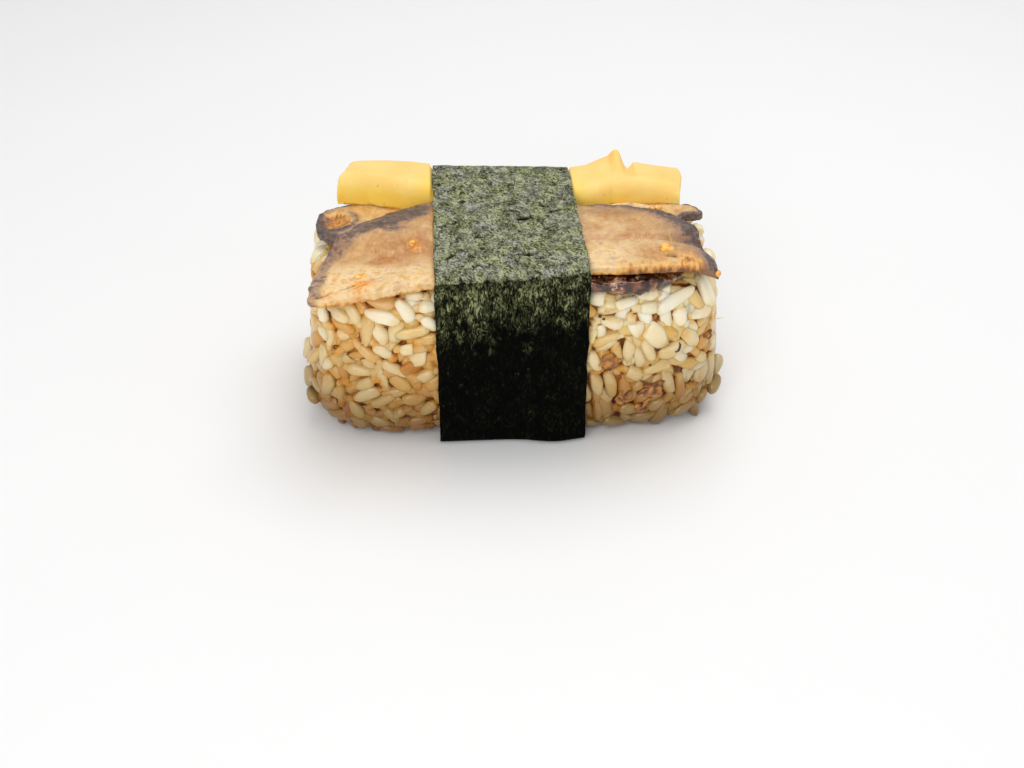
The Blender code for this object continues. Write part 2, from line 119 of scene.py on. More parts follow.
# Pushing grains apart: what part of its width each keeps, rounds, strength and longest move
GRAIN_OVERLAP = 0.85
RELAX_STEPS = 40
PUSH_SHARE = 0.28
LONGEST_MOVE = 0.8 * MM

# Shares of grains that stand proud and that soy has soaked; a marked grain less white than this is soaked
PROUD_SHARE = 0.07
SOAKED_SHARE = 0.30
SOAKED_WHITENESS = 0.4

# How finely the core is cut where grains are laid on it, and where it becomes the starch
SCATTER_CUTS = 47
STARCH_CUTS = 122

# Tones of each kind of grain, from its darkest to its whitest
GRAIN_TONES = {
    "rice_pale": ((0.0, (0.78, 0.62, 0.31)), (0.5, (0.87, 0.75, 0.47)), (1.0, (0.96, 0.91, 0.78))),
    "rice_soy": ((0.0, (0.70, 0.42, 0.10)), (0.5, (0.80, 0.55, 0.18)), (1.0, (0.84, 0.67, 0.34)))}

# Starch skin over the grains: the radius it takes a grain for, how softly it joins them, its limit
STARCH_RADIUS = 0.88 * MM
STARCH_BLEND = 0.28 * MM
STARCH_LIMIT = 1.15 * MM

# Browned rim of the front slice: its width and strength at places along the slice
CRUST_AT = in_mm(-44, -38, -33, -28, -22, -18, 16, 28, 36, 44)
CRUST_WIDTH = in_mm(3.4, 6.5, 9.5, 10.5, 9.0, 4.5, 3.6, 4.2, 6.5, 6.0)
CRUST_STRENGTH = (0.42, 0.60, 0.74, 0.80, 0.76, 0.50, 0.60, 0.72, 0.92, 0.95)

# Caramelised hollow at the left end of the back slice
HOLLOW_AT = (-40.2 * MM, 8.1 * MM)
HOLLOW_SIZE = (4.4 * MM, 4.6 * MM)

# Spots in millimetres that colour the slices: strength, place and one radius or two
FRONT_SLICE_SPOTS = {
    "fat": ((1.3, 18.5, -21, 7, 5), (0.45, 25, -13, 9, 6), (0.3, 20, -2, 5, 4), (0.35, -36, -21, 5, 4)),
    "rust": ((0.85, -27.4, -14.0, 3.2, 2.4), (0.5, -22.5, -10, 5, 3)),
    "halo": ((0.30, -26, -6, 6, 3), (0.65, 37, -6, 5, 7), (0.65, 40.0, -14, 3.5, 7),
             (0.9, 25, 4, 10, 2.5), (0.6, 35.0, -17.0, 1.8, 1.6)),
    "glaze": ((0.5, 37.6, -22.5, 2.2, 1.6),),
    "orange": ((1.0, -32.6, -23.5, 2.4, 1.7), (0.8, -21.2, -10.5, 1.2), (0.6, -33.5, -27.3, 1.2, 3.0),
               (0.35, -24, -4, 3, 1.2), (0.4, -41, -25.5, 3, 1.2), (0.4, 32, -20.5, 5, 2))}
BACK_SLICE_SPOTS = {"fat": ((1.4, 28.5, 12.8, 7, 2.4),), "rust": ((0.4, 41, 9, 3),)}

# Soy on the rice's front, seen from the front: strength, place across and up, and radii
RICE_STAINS = ((0.70, -38, 29, 5, 4.5), (0.45, -30, 37, 7, 3), (1.10, 27.5, 11.5, 7, 4.5),
               (0.80, 20, 20, 3, 4), (0.60, 42, 25, 2.5, 4), (0.30, -22, 22, 8, 9))

# Small slits in the seaweed's top: place, half length, half width and turn in degrees
SLITS = ((3.0, -1.6, 1.9, 0.75, 12), (2.6, -18.3, 1.5, 0.6, -8), (10.9, 1.9, 2.2, 0.4, 30),
         (8.1, 4.5, 1.5, 0.35, -15), (-10.6, 7.1, 1.2, 0.3, 20), (-13.8, -17.8, 1.6, 0.4, 40),
         (1.2, 2.2, 1.3, 0.35, -25), (-12.4, -2.5, 2.0, 0.35, 35))

# Where the frame has the stack's origin, read from the slab's left end and back edge
slab_low, slab_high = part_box("egg")
STACK_AT = Vector((slab_low[0] - SLAB_LEFT, slab_high[1] - SLAB_BACK, 0.0))

# What a crop of the photograph shows: its left and top pixel, and its pixels to one of the photograph
RIGHT_RICE = (560, 270, 8.71)
LEFT_RICE = (290, 280, 9.225)
RIGHT_TOP = (560, 140, 9.22)
LEFT_TOP = (290, 140, 5.8)
PIXEL = 0.236 * MM

# Grains that stand out on the front, marked on the crops: two ends, width and whiteness
RIGHT_GRAINS = ((300, 190, 440, 330, 150, 1), (690, 265, 850, 275, 105, 0.8),
    (885, 262, 975, 255, 85, 0.8), (385, 372, 690, 335, 85, 0.95), (680, 372, 855, 368, 100, 0.7),
    (870, 430, 1190, 262, 110, 0.95), (1065, 420, 1080, 515, 105, 1),
    (590, 450, 740, 590, 105, 0.9), (700, 520, 890, 700, 150, 0.95), (770, 640, 810, 800, 95, 0.8),
    (585, 650, 600, 800, 105, 0.6), (285, 668, 545, 610, 85, 0.35), (530, 865, 705, 935, 105, 0.6),
    (730, 925, 1035, 835, 95, 0.55), (920, 945, 990, 1180, 105, 0.65),
    (270, 750, 350, 870, 105, 0.95), (305, 930, 345, 1090, 95, 0.7),
    (425, 930, 440, 1120, 105, 0.4), (430, 1300, 560, 1440, 115, 0.6),
    (620, 1350, 810, 1290, 105, 0.4), (985, 1300, 1180, 1240, 100, 0.7),
    (1320, 800, 1410, 880, 105, 0.95), (1280, 1150, 1400, 950, 80, 0.85),
    (1090, 1230, 1150, 1190, 90, 0.4), (560, 1230, 660, 1255, 70, 0.5),
    (800, 1240, 890, 1200, 85, 0.5), (1060, 1000, 1080, 1170, 90, 0.15),
    (1150, 1130, 1240, 1130, 85, 0), (1340, 300, 1370, 420, 90, 0.6),
    (1130, 330, 1270, 420, 110, 0.3), (900, 560, 1010, 640, 110, 0.2),
    (1100, 600, 1240, 700, 120, 0.5), (1200, 820, 1300, 900, 110, 0.5),
    (320, 1160, 340, 1300, 100, 0.3), (240, 1330, 300, 1440, 90, 0.5),
    (280, 640, 290, 560, 70, 0.5), (1040, 880, 1200, 900, 100, 0.25),
    (380, 460, 560, 480, 100, 0.6))
LEFT_GRAINS = ((705, 375, 1000, 395, 125, 1), (1010, 260, 1135, 400, 115, 0.95),
    (1085, 205, 1205, 235, 105, 0.6), (1215, 310, 1335, 290, 80, 0.8),
    (1240, 410, 1320, 470, 85, 0.9), (800, 480, 830, 640, 110, 0.7),
    (830, 640, 900, 760, 110, 0.75), (870, 800, 1140, 900, 100, 0.6),
    (1050, 665, 1175, 650, 90, 0.9), (1080, 800, 1345, 720, 140, 0.7),
    (985, 560, 1290, 540, 115, 0.45), (280, 620, 390, 655, 110, 0.8),
    (140, 590, 190, 720, 90, 0.6), (115, 960, 165, 870, 80, 0.9), (340, 800, 340, 1000, 120, 0.55),
    (330, 1010, 360, 1240, 120, 0.5), (480, 1090, 490, 1210, 110, 0.35),
    (600, 1130, 810, 1070, 110, 0.85), (700, 1250, 960, 1110, 115, 0.55),
    (560, 1230, 660, 1340, 85, 0.6), (820, 870, 890, 1020, 100, 0.45),
    (930, 960, 1100, 1030, 110, 0.3), (1010, 1190, 1220, 1110, 115, 0.3),
    (1190, 940, 1320, 900, 120, 0.55), (1065, 1330, 1230, 1290, 100, 0.2),
    (1235, 1270, 1330, 1160, 95, 0.6), (395, 370, 560, 430, 120, 0.5),
    (440, 770, 590, 640, 110, 0.1), (650, 680, 810, 760, 110, 0.3), (260, 330, 230, 480, 100, 0.9),
    (300, 440, 340, 560, 100, 0.85), (225, 290, 350, 270, 90, 0.8),
    (560, 900, 760, 930, 110, 0.45), (210, 1200, 280, 1210, 80, 0.8),
    (740, 1350, 890, 1370, 90, 0.5), (640, 1060, 760, 970, 90, 0.5), (440, 880, 520, 1050, 100, 0),
    (190, 1050, 250, 1110, 80, 0.6), (950, 1290, 1020, 1250, 80, 0.5),
    (1220, 580, 1330, 560, 90, 0.3), (480, 350, 600, 470, 100, 0.4),
    (180, 840, 240, 960, 100, 0.7), (900, 1250, 1020, 1320, 90, 0.5),
    (620, 1300, 720, 1400, 80, 0.4), (1120, 1420, 1250, 1390, 80, 0.3))

# Grains seen past the block's edges: the crop and two ends
EDGE_GRAINS = ((LEFT_TOP, 170, 420, 215, 340), (LEFT_TOP, 105, 470, 145, 530),
    (LEFT_TOP, 140, 600, 230, 560), (LEFT_TOP, 135, 720, 220, 640),
    (RIGHT_TOP, 1150, 720, 1200, 740), (RIGHT_TOP, 1235, 770, 1305, 855),
    (RIGHT_TOP, 1380, 1000, 1435, 1110), (LEFT_RICE, 135, 560, 160, 700),
    (LEFT_RICE, 180, 830, 115, 965), (LEFT_RICE, 185, 1010, 200, 1090),
    (RIGHT_RICE, 1330, 790, 1425, 870), (RIGHT_RICE, 1400, 900, 1340, 1080))

# Small bits on the slices and on the front: the crop, middle and width
ORANGE_CRUMBS = ((RIGHT_TOP, 975, 1000, 125), (RIGHT_TOP, 850, 630, 60), (RIGHT_TOP, 905, 625, 60),
    (RIGHT_TOP, 1460, 1230, 45), (LEFT_TOP, 395, 795, 40), (LEFT_TOP, 430, 785, 30),
    (LEFT_TOP, 710, 600, 35))
DARK_CRUMBS = ((RIGHT_TOP, 275, 600, 60), (RIGHT_RICE, 350, 403, 30), (RIGHT_RICE, 380, 428, 25),
    (RIGHT_RICE, 785, 830, 25))
FLAKES = ((RIGHT_RICE, 430, 800, 150), (RIGHT_RICE, 790, 1020, 170), (RIGHT_RICE, 700, 1170, 130),
    (RIGHT_RICE, 540, 1120, 130), (RIGHT_RICE, 1295, 560, 80))

# Runs of a curved burnt fleck and a pale fibre on the right crop of the front
BURNT_FLECK = ((1038, 622), (1047, 652), (1042, 682), (1030, 705), (1012, 716), (1000, 706))
PALE_FIBRE = ((1345, 418), (1375, 422), (1405, 416), (1435, 412))

# Small bits: each kind's slot and tones, and the marks on a flake to one of its threads
BIT_LOOKS = {
    "crumbs_orange": ("glazed_pork", (0.72, 0.24, 0.02), (0.96, 0.50, 0.09), (0.96, 0.62, 0.20)),
    "crumbs_dark": ("roast_pork", (0.04, 0.018, 0.010), (0.14, 0.055, 0.022)),
    "meat_flakes": ("glazed_pork", (0.11, 0.034, 0.006), (0.32, 0.115, 0.018), (0.56, 0.25, 0.05)),
    "burnt_fleck": ("roast_pork", (0.012, 0.008, 0.006), (0.030, 0.018, 0.012)),
    "pale_fibre": ("cooked_rice", (0.80, 0.68, 0.45), (0.92, 0.85, 0.66))}
FLAKE_THREAD_SPACING = 30

# Camera, solved from the band's corners
CAMERA_AT = Vector((-13.62, -253.27, 176.17)) * MM
CAMERA_PITCH = math.radians(35.22)
CAMERA_YAW = math.radians(3.22)
CAMERA_LENS = 43.65
SENSOR_WIDTH = 36
PHOTO_WIDTH, PHOTO_HEIGHT = 1024, 768
AHEAD = Vector((math.sin(CAMERA_YAW) * math.cos(CAMERA_PITCH),
                math.cos(CAMERA_YAW) * math.cos(CAMERA_PITCH), -math.sin(CAMERA_PITCH)))
SIDEWAYS = Vector((math.cos(CAMERA_YAW), -math.sin(CAMERA_YAW), 0))

# How far off the block may be from the camera, in half millimetres
NEAR_AND_FAR = (500, 700)

# Setting: the floor, the sky and the lights, with each light's place from where it aims, size and power
FLOOR_SIDE = 3.0
WORLD_STRENGTH = 0.56
LIT_AT = Vector((0, 0, 25)) * MM
LIGHTS = (("key_light", (0.12, 0.18, 0.62), 0.50, 2.1),
          ("fill_light", (-0.20, -0.62, 0.42), 0.55, 2.3))


def smoothstep(low, high, value):
    """0 to 1 as a value goes from low to high, or from high to low, eased at both ends."""
    t = min(max((value - low) / (high - low), 0.0), 1.0)
    return t * t * (3 - 2 * t)


def rise(low, high, length):
    """0 to 1 as a length goes from a low to a high one, both in millimetres."""
    return smoothstep(low * MM, high * MM, length)


def ripple(x, y, wavelength, phase):
    """A gentle unevenness between -1 and 1."""
    k = 2 * math.pi / wavelength
    return (math.sin(k * x + phase) * math.cos(0.8 * k * y - phase)
            + 0.6 * math.sin(1.7 * k * (0.6 * x - y) + 2.1 * phase)) / 1.6


def ray_to(crop, x, y):
    """The way from the camera through a mark on a crop of the photograph."""
    left, top, scale = crop
    across, down = left + x / scale - PHOTO_WIDTH / 2, top + y / scale - PHOTO_HEIGHT / 2
    focus = CAMERA_LENS / SENSOR_WIDTH * PHOTO_WIDTH
    return (AHEAD + (SIDEWAYS * across - SIDEWAYS.cross(AHEAD) * down) / focus).normalized()


def on_front(crop, x, y):
    """Where a mark lies on the block's front, at the depth of its grains."""
    ray = ray_to(crop, x, y)
    return CAMERA_AT + ray * ((FRONT_GRAINS_Y - CAMERA_AT.y) / ray.y)


def seen_at(surface, crop, x, y):
    """Where a mark falls on a surface or else comes nearest to it, the way out, and how near."""
    ray = ray_to(crop, x, y)
    place, out, _, _ = surface.ray_cast(CAMERA_AT, ray)
    if place is not None:
        return place, out, 0.0
    steps = (surface.find_nearest(CAMERA_AT + ray * s * 0.5 * MM) for s in range(*NEAR_AND_FAR))
    place, out, _, distance = min(steps, key=lambda found: found[3])
    return place, out, distance


def cloud(x, y, z, size, octaves=3, seed=0.0):
    """Fractal noise, about -1 to 1, whose largest lumps are of the size given."""
    return noise.fractal(Vector((x / size + seed, y / size - seed, z / size + 2 * seed)),
                         1.0, 2.0, octaves)


def spot(x, y, at, radius):
    """1 at a spot, falling smoothly to 0 past its radius (one number or a pair)."""
    rx, ry = radius if isinstance(radius, tuple) else (radius, radius)
    return math.exp(-(((x - at[0]) / rx) ** 2 + ((y - at[1]) / ry) ** 2))


def spot_mm(x, y, at_x, at_y, radius_x, radius_y=None):
    """The same, for a place and radii in millimetres."""
    radius_y = radius_x if radius_y is None else radius_y
    return spot(x, y, (at_x * MM, at_y * MM), (radius_x * MM, radius_y * MM))


def spots(x, y, marks):
    """The sum of some spots, each a strength, a place and a radius or two in millimetres."""
    return sum(strength * spot_mm(x, y, *mark) for strength, *mark in marks)


def oval_reach(x, y, middle, half, power):
    across = abs((x - middle[0]) / half[0]) ** power
    along = abs((y - middle[1]) / half[1]) ** power
    return (across + along) ** (1 / power)


# Heights of the stack's layers

def rice_top(x, y):
    u = (x - CORE_X) / CORE_HALF_LENGTH
    v = y / CORE_HALF_DEPTH
    slope = (-0.35 * u - 1.15 * v - 0.55 * u * v) * MM
    crown = 1.8 * MM * math.exp(-(((x + 12 * MM) / (18 * MM)) ** 2))
    return CORE_TOP + slope + crown * smoothstep(0.6, -0.9, v)


def flared(height):
    """How much wider the block has settled at a height from -1, its foot, to 1."""
    return 1 + CORE_FLARE * smoothstep(0.6, -0.7, height)


def lift_over(reach, spread):
    return smoothstep(spread, 1.08, reach)


def low_slice_bottom(x, y):
    """The back slice's right tip is propped up on the grains below it."""
    propped = 1.1 * MM * rise(33, 43, x) * rise(4, 9, y)
    return rice_top(x, y) + GAP + propped


def front_slice_bottom(x, y):
    over_back = lift_over(oval_reach(x, y, BACK_SLICE_MIDDLE, BACK_SLICE_HALF, 3), 1.4)
    over_strip = lift_over(oval_reach(x, y, STRIP_MIDDLE, STRIP_HALF, 2.6), 1.7)
    on_strip = STRIP_THICKNESS + 2.6 * GAP
    lift = on_strip * (1 - (1 - SLICE_LIFT / on_strip * over_back) * (1 - over_strip))
    droop = 1.3 * MM * rise(-20, -28, y) * rise(-18, -40, x)
    return rice_top(x, y) + GAP + lift - droop


def slab_bottom(x, y):
    reach = oval_reach(x, y, BACK_SLICE_MIDDLE, BACK_SLICE_HALF, 3)
    return rice_top(x, y) + GAP + SLICE_LIFT * lift_over(reach, 1.7)


def band_top(x, y):
    u = (x - BAND_X) / BAND_HALF_WIDTH
    v = y / BAND_HALF_DEPTH
    return BAND_HEIGHT + (0.05 * u + 0.05 * v - 0.75 * u * v) * MM


def band_ceiling(x, y):
    """The highest a piece may reach under the band. Away from the band it is far up."""
    inner = BAND_HALF_DEPTH - BAND_THICKNESS - GAP
    radius = BAND_CORNER - BAND_THICKNESS
    past = min(max(abs(y) - inner + radius, 0), radius)
    drop = radius - math.sqrt(radius ** 2 - past ** 2)
    away = rise(-0.1, 2.4, abs(x - BAND_X) - BAND_HALF_WIDTH)
    return band_top(x, y) - BAND_THICKNESS - 1.3 * GAP - drop + 6 * MM * away


def slab_top(x, y):
    """Highest at the left, rounded down along its front, with a torn, upturned corner."""
    back = smoothstep(17 * MM, SLAB_BACK, y)
    high = np.interp(x, SLAB_TOP_AT, SLAB_TOPS) + back * np.interp(x, TORN_AT, TORN_RISE)
    high = min(high, band_ceiling(x, y))
    low = slab_bottom(x, y)
    front = np.interp(x, SLAB_FRONT_AT, SLAB_FRONTS)
    near = min(max((front + SLAB_ROUND - y) / SLAB_ROUND, 0.0), 1.0)
    return low + (high - low) * max((1 - near ** 2.4) ** (1 / 2.4), 0.03)


def slab_end(side, y):
    """Where the slab ends on its left, -1, or right, 1: both ends are cut aslant."""
    if side < 0:
        return SLAB_LEFT + 2.7 * MM * rise(16, 26, y)
    return SLAB_RIGHT - 1.7 * MM * rise(24, 14, y)


# Outlines seen from above

def oval_outline(angle, middle, half, power):
    c, s = math.cos(angle), math.sin(angle)
    x = math.copysign(abs(c) ** (2 / power), c)
    y = math.copysign(abs(s) ** (2 / power), s)
    return middle[0] + half[0] * x, middle[1] + half[1] * y


def back_slice_outline(angle):
    x, y = oval_outline(angle, BACK_SLICE_MIDDLE, BACK_SLICE_HALF, 3)
    x += 1.2 * MM * rise(38, 45, x)
    slim = 0.85 if y < TIP_Y else 0.35
    y += (TIP_Y - y) * slim * rise(34, 42, x)
    return x, y + 0.5 * MM * ripple(x, y, 23 * MM, 0.7)


def strip_outline(angle):
    x, y = oval_outline(angle, STRIP_MIDDLE, STRIP_HALF, 2.6)
    along = (x - STRIP_MIDDLE[0]) / STRIP_HALF[0]
    return x, y + 2.2 * MM * smoothstep(0.2, 1.0, along)


def front_slice_outline(angle):
    c, s = math.cos(angle), math.sin(angle)
    x = FRONT_SLICE_HALF_LENGTH * math.copysign(abs(c) ** 0.7, c)
    u = x / FRONT_SLICE_HALF_LENGTH
    right_half = smoothstep(-0.1, 0.35, u)
    left_end = smoothstep(-0.42, -0.7, u)
    cut = (-25.6 + 1.2 * right_half - 0.9 * left_end + 0.25 * math.sin(9 * u)) * MM
    power = 2.35 if x < 0 else 3.8
    depth = (36.6 - 2.6 * u) * MM
    if s >= 0:
        y = cut + depth * (1 - abs(u) ** power) ** (1 / power)
    else:
        y = cut - 0.5 * MM * (1 - abs(u) ** 6)
    tug = 1.3 * MM * x / BAND_HALF_WIDTH * math.exp(-(((abs(x) - 17 * MM) / (6 * MM)) ** 2))
    return x, y - (tug if s >= 0 else 0)


def centre_of(outline):
    points = [outline(2 * math.pi * k / 72) for k in range(72)]
    return sum(p[0] for p in points) / 72, sum(p[1] for p in points) / 72


def rounded_section(half_depth, height, radius, arc_steps, side_steps, base_steps):
    """A rounded rectangle in Y and Z that stands on Z = 0, run anticlockwise."""
    corners = [(half_depth - radius, radius, -90), (half_depth - radius, height - radius, 0),
               (radius - half_depth, height - radius, 90), (radius - half_depth, radius, 180)]
    straights = [side_steps, base_steps, side_steps, base_steps]
    points = []
    for index, (y, z, start) in enumerate(corners):
        for step in range(arc_steps + 1):
            angle = math.radians(start + 90 * step / arc_steps)
            points.append((y + radius * math.cos(angle), z + radius * math.sin(angle)))
        next_y, next_z, next_start = corners[(index + 1) % 4]
        angle = math.radians(next_start)
        end = (next_y + radius * math.cos(angle), next_z + radius * math.sin(angle))
        begin = points[-1]
        for step in range(1, straights[index]):
            t = step / straights[index]
            points.append((begin[0] + (end[0] - begin[0]) * t, begin[1] + (end[1] - begin[1]) * t))
    return points


# Materials

class Look:
    """A Principled material that is built up node by node."""

    def __init__(self, name, **uniform):
        self.material = bpy.data.materials.new(name)
        self.material.use_nodes = True
        self.tree = self.material.node_tree
        self.shader = self.tree.nodes["Principled BSDF"]
        for socket, value in uniform.items():
            self.shader.inputs[socket.replace("_", " ")].default_value = value
        self.place = self.tree.nodes.new("ShaderNodeTexCoord").outputs["Object"]

    def node(self, kind, values=None, **settings):
        """A node whose inputs, by name or number, are linked to a socket or set to a value."""
        made = self.tree.nodes.new(kind)
        for name, value in settings.items():
            setattr(made, name, value)
        for key, value in (values or {}).items():
            target = made.inputs[key]
            if isinstance(value, bpy.types.NodeSocket):
                self.tree.links.new(value, target)
            else:
                target.default_value = (*value, 1.0) if target.type == "RGBA" else value
        return made

    def stretched(self, sx, sy, sz, turn=0.0):
        """Places scaled along each axis, after a turn about Z in degrees."""
        turned = {"Vector": self.place, "Rotation": (0, 0, math.radians(turn))}
        scaled = {"Vector": self.node("ShaderNodeMapping", turned).outputs[0], "Scale": (sx, sy, sz)}
        return self.node("ShaderNodeMapping", scaled).outputs[0]

    def noise(self, size, detail=3.0, vector=None, distortion=0.0):
        """Noise whose lumps are about the size given, in metres."""
        values = {"Vector": vector or self.place, "Scale": 1 / size, "Detail": detail,
                  "Distortion": distortion}
        return self.node("ShaderNodeTexNoise", values).outputs["Fac"]

    def mask(self, name):
        """A value that the mesh carries at its points."""
        return self.node("ShaderNodeAttribute", attribute_name=name).outputs["Fac"]

    def ramp(self, value, *stops):
        """Colours or greys at positions along a value, blended evenly."""
        made = self.node("ShaderNodeValToRGB", {"Fac": value})
        elements = made.color_ramp.elements
        while len(elements) < len(stops):
            elements.new(0.5)
        for element, (position, colour) in zip(elements, stops):
            element.position = position
            colour = (colour,) * 3 if isinstance(colour, (int, float)) else colour
            element.color = (*colour, 1.0)
        return made.outputs["Color"]

    def mix(self, first, second, share, blend="MIX"):
        values = {0: share, 6: first, 7: second}
        return self.node("ShaderNodeMix", values, data_type="RGBA", blend_type=blend).outputs[2]

    def maths(self, operation, first, second=0.5):
        return self.node("ShaderNodeMath", {0: first, 1: second}, operation=operation).outputs[0]

    def shifted(self, mask, uneven, reach):
        """A mask moved up and down by a noise."""
        shift = self.maths("MULTIPLY", self.maths("SUBTRACT", uneven, 0.5), reach * 2)
        return self.maths("ADD", mask, shift)

    def ragged(self, mask, uneven, reach, soft):
        """A mask whose border is broken up by a noise."""
        return self.ramp(self.shifted(mask, uneven, reach), (0.5 - soft, 0.0), (0.5 + soft, 1.0))

    def cover(self, body, colour, mask, uneven, reach, soft):
        """A colour over another where a ragged mask says so."""
        return self.mix(body, colour, self.ragged(self.mask(mask), uneven, reach, soft))

    def height(self, low, high):
        """0 at a low height and 1 at a high one."""
        z = self.node("ShaderNodeSeparateXYZ", {"Vector": self.place}).outputs["Z"]
        return self.maths("DIVIDE", self.maths("SUBTRACT", z, low), high - low)

    def colour(self, socket):
        self.tree.links.new(socket, self.shader.inputs["Base Color"])

    def roughness(self, socket):
        self.tree.links.new(socket, self.shader.inputs["Roughness"])

    def bump(self, height, distance, strength):
        bump = self.node("ShaderNodeBump", {"Height": height, "Distance": distance, "Strength": strength})
        normal = self.shader.inputs["Normal"]
        if normal.is_linked:
            self.tree.links.new(normal.links[0].from_socket, bump.inputs["Normal"])
        self.tree.links.new(bump.outputs[0], normal)


def soy_and_foot_shade(look, body, spared=0.0):
    """Colours that run over grains and starch alike: soy in patches, and painted shade that darkens the
    foot.
    """
    amber = look.ramp(look.noise(3.6 * MM, 3.0), (0.50, 0.0), (0.64, 0.85))
    amber = look.maths("MULTIPLY", amber, look.maths("SUBTRACT", 1.0, spared))
    body = look.mix(body, look.mix(body, (0.97, 0.70, 0.24), 1.0, "MULTIPLY"), amber)
    drift = look.ramp(look.noise(9 * MM, 2.0), (0.38, (1.0, 1.0, 1.0)), (0.66, (0.96, 0.88, 0.68)))
    body = look.mix(body, drift, 1.0, "MULTIPLY")
    soaked = look.mix(body, (0.90, 0.55, 0.15), 1.0, "MULTIPLY")
    body = look.mix(body, soaked, look.mask("stain"))
    # Painted shade: the rice turns darker and browner towards its foot, as shade falls there.
    foot = look.ramp(look.height(0.0, 30 * MM), (0.04, (0.22, 0.15, 0.065)), (0.30, (0.42, 0.32, 0.16)),
                     (0.60, (0.77, 0.69, 0.54)), (0.95, (0.98, 0.96, 0.92)))
    return look.mix(body, foot, 1.0, "MULTIPLY")


def grain_look(name, tones):
    """Cooked rice: cloudy in the middle, clearer towards its ends, soaked here and there."""
    look = Look(name, Roughness=0.30, Subsurface_Weight=0.45, Subsurface_Scale=1.1 * MM,
                Subsurface_Radius=(1.0, 0.78, 0.50), Coat_Weight=0.25, Coat_Roughness=0.15)
    tint = look.mask("tint")
    own = look.ramp(tint, *tones)
    cloudy = look.noise(1.8 * MM, 2.0)
    ends = look.maths("MULTIPLY", look.mask("ends"), cloudy)
    clear = look.mix(own, (0.90, 0.76, 0.48), 0.6, "MULTIPLY")
    body = look.mix(own, clear, look.ramp(ends, (0.08, 0.0), (0.50, 1.0)))
    look.colour(soy_and_foot_shade(look, body, look.maths("MULTIPLY", tint, 0.85)))
    look.bump(look.noise(1.3 * MM, 3.0), 0.22 * MM, 0.5)
    return look.material


def starch_look():
    """What binds the grains: wet starch, cream where it stands high, amber with soy lower in the gaps,
    and painted shade, dark brown to near black, in the deepest gaps.
    """
    look = Look("rice_between_grains", Roughness=0.45, Subsurface_Weight=0.35,
                Subsurface_Scale=1.0 * MM, Subsurface_Radius=(1.0, 0.5, 0.2), Specular_IOR_Level=0.2)
    fine = look.noise(1.6 * MM, 3.0)
    low = look.shifted(look.mask("low"), look.noise(3.0 * MM, 4.0), 0.9)
    # The low mask gives soy's amber where the starch sits low, and painted shade in the deepest gaps.
    body = look.ramp(low, (0.15, (0.84, 0.69, 0.42)), (0.50, (0.76, 0.53, 0.22)),
                     (0.76, (0.54, 0.25, 0.050)), (1.0, (0.17, 0.055, 0.012)))
    speckled = look.mix(body, (0.84, 0.66, 0.36), look.ramp(fine, (0.54, 0.0), (0.72, 0.4)))
    look.colour(soy_and_foot_shade(look, speckled))
    look.bump(fine, 0.35 * MM, 0.7)
    return look.material


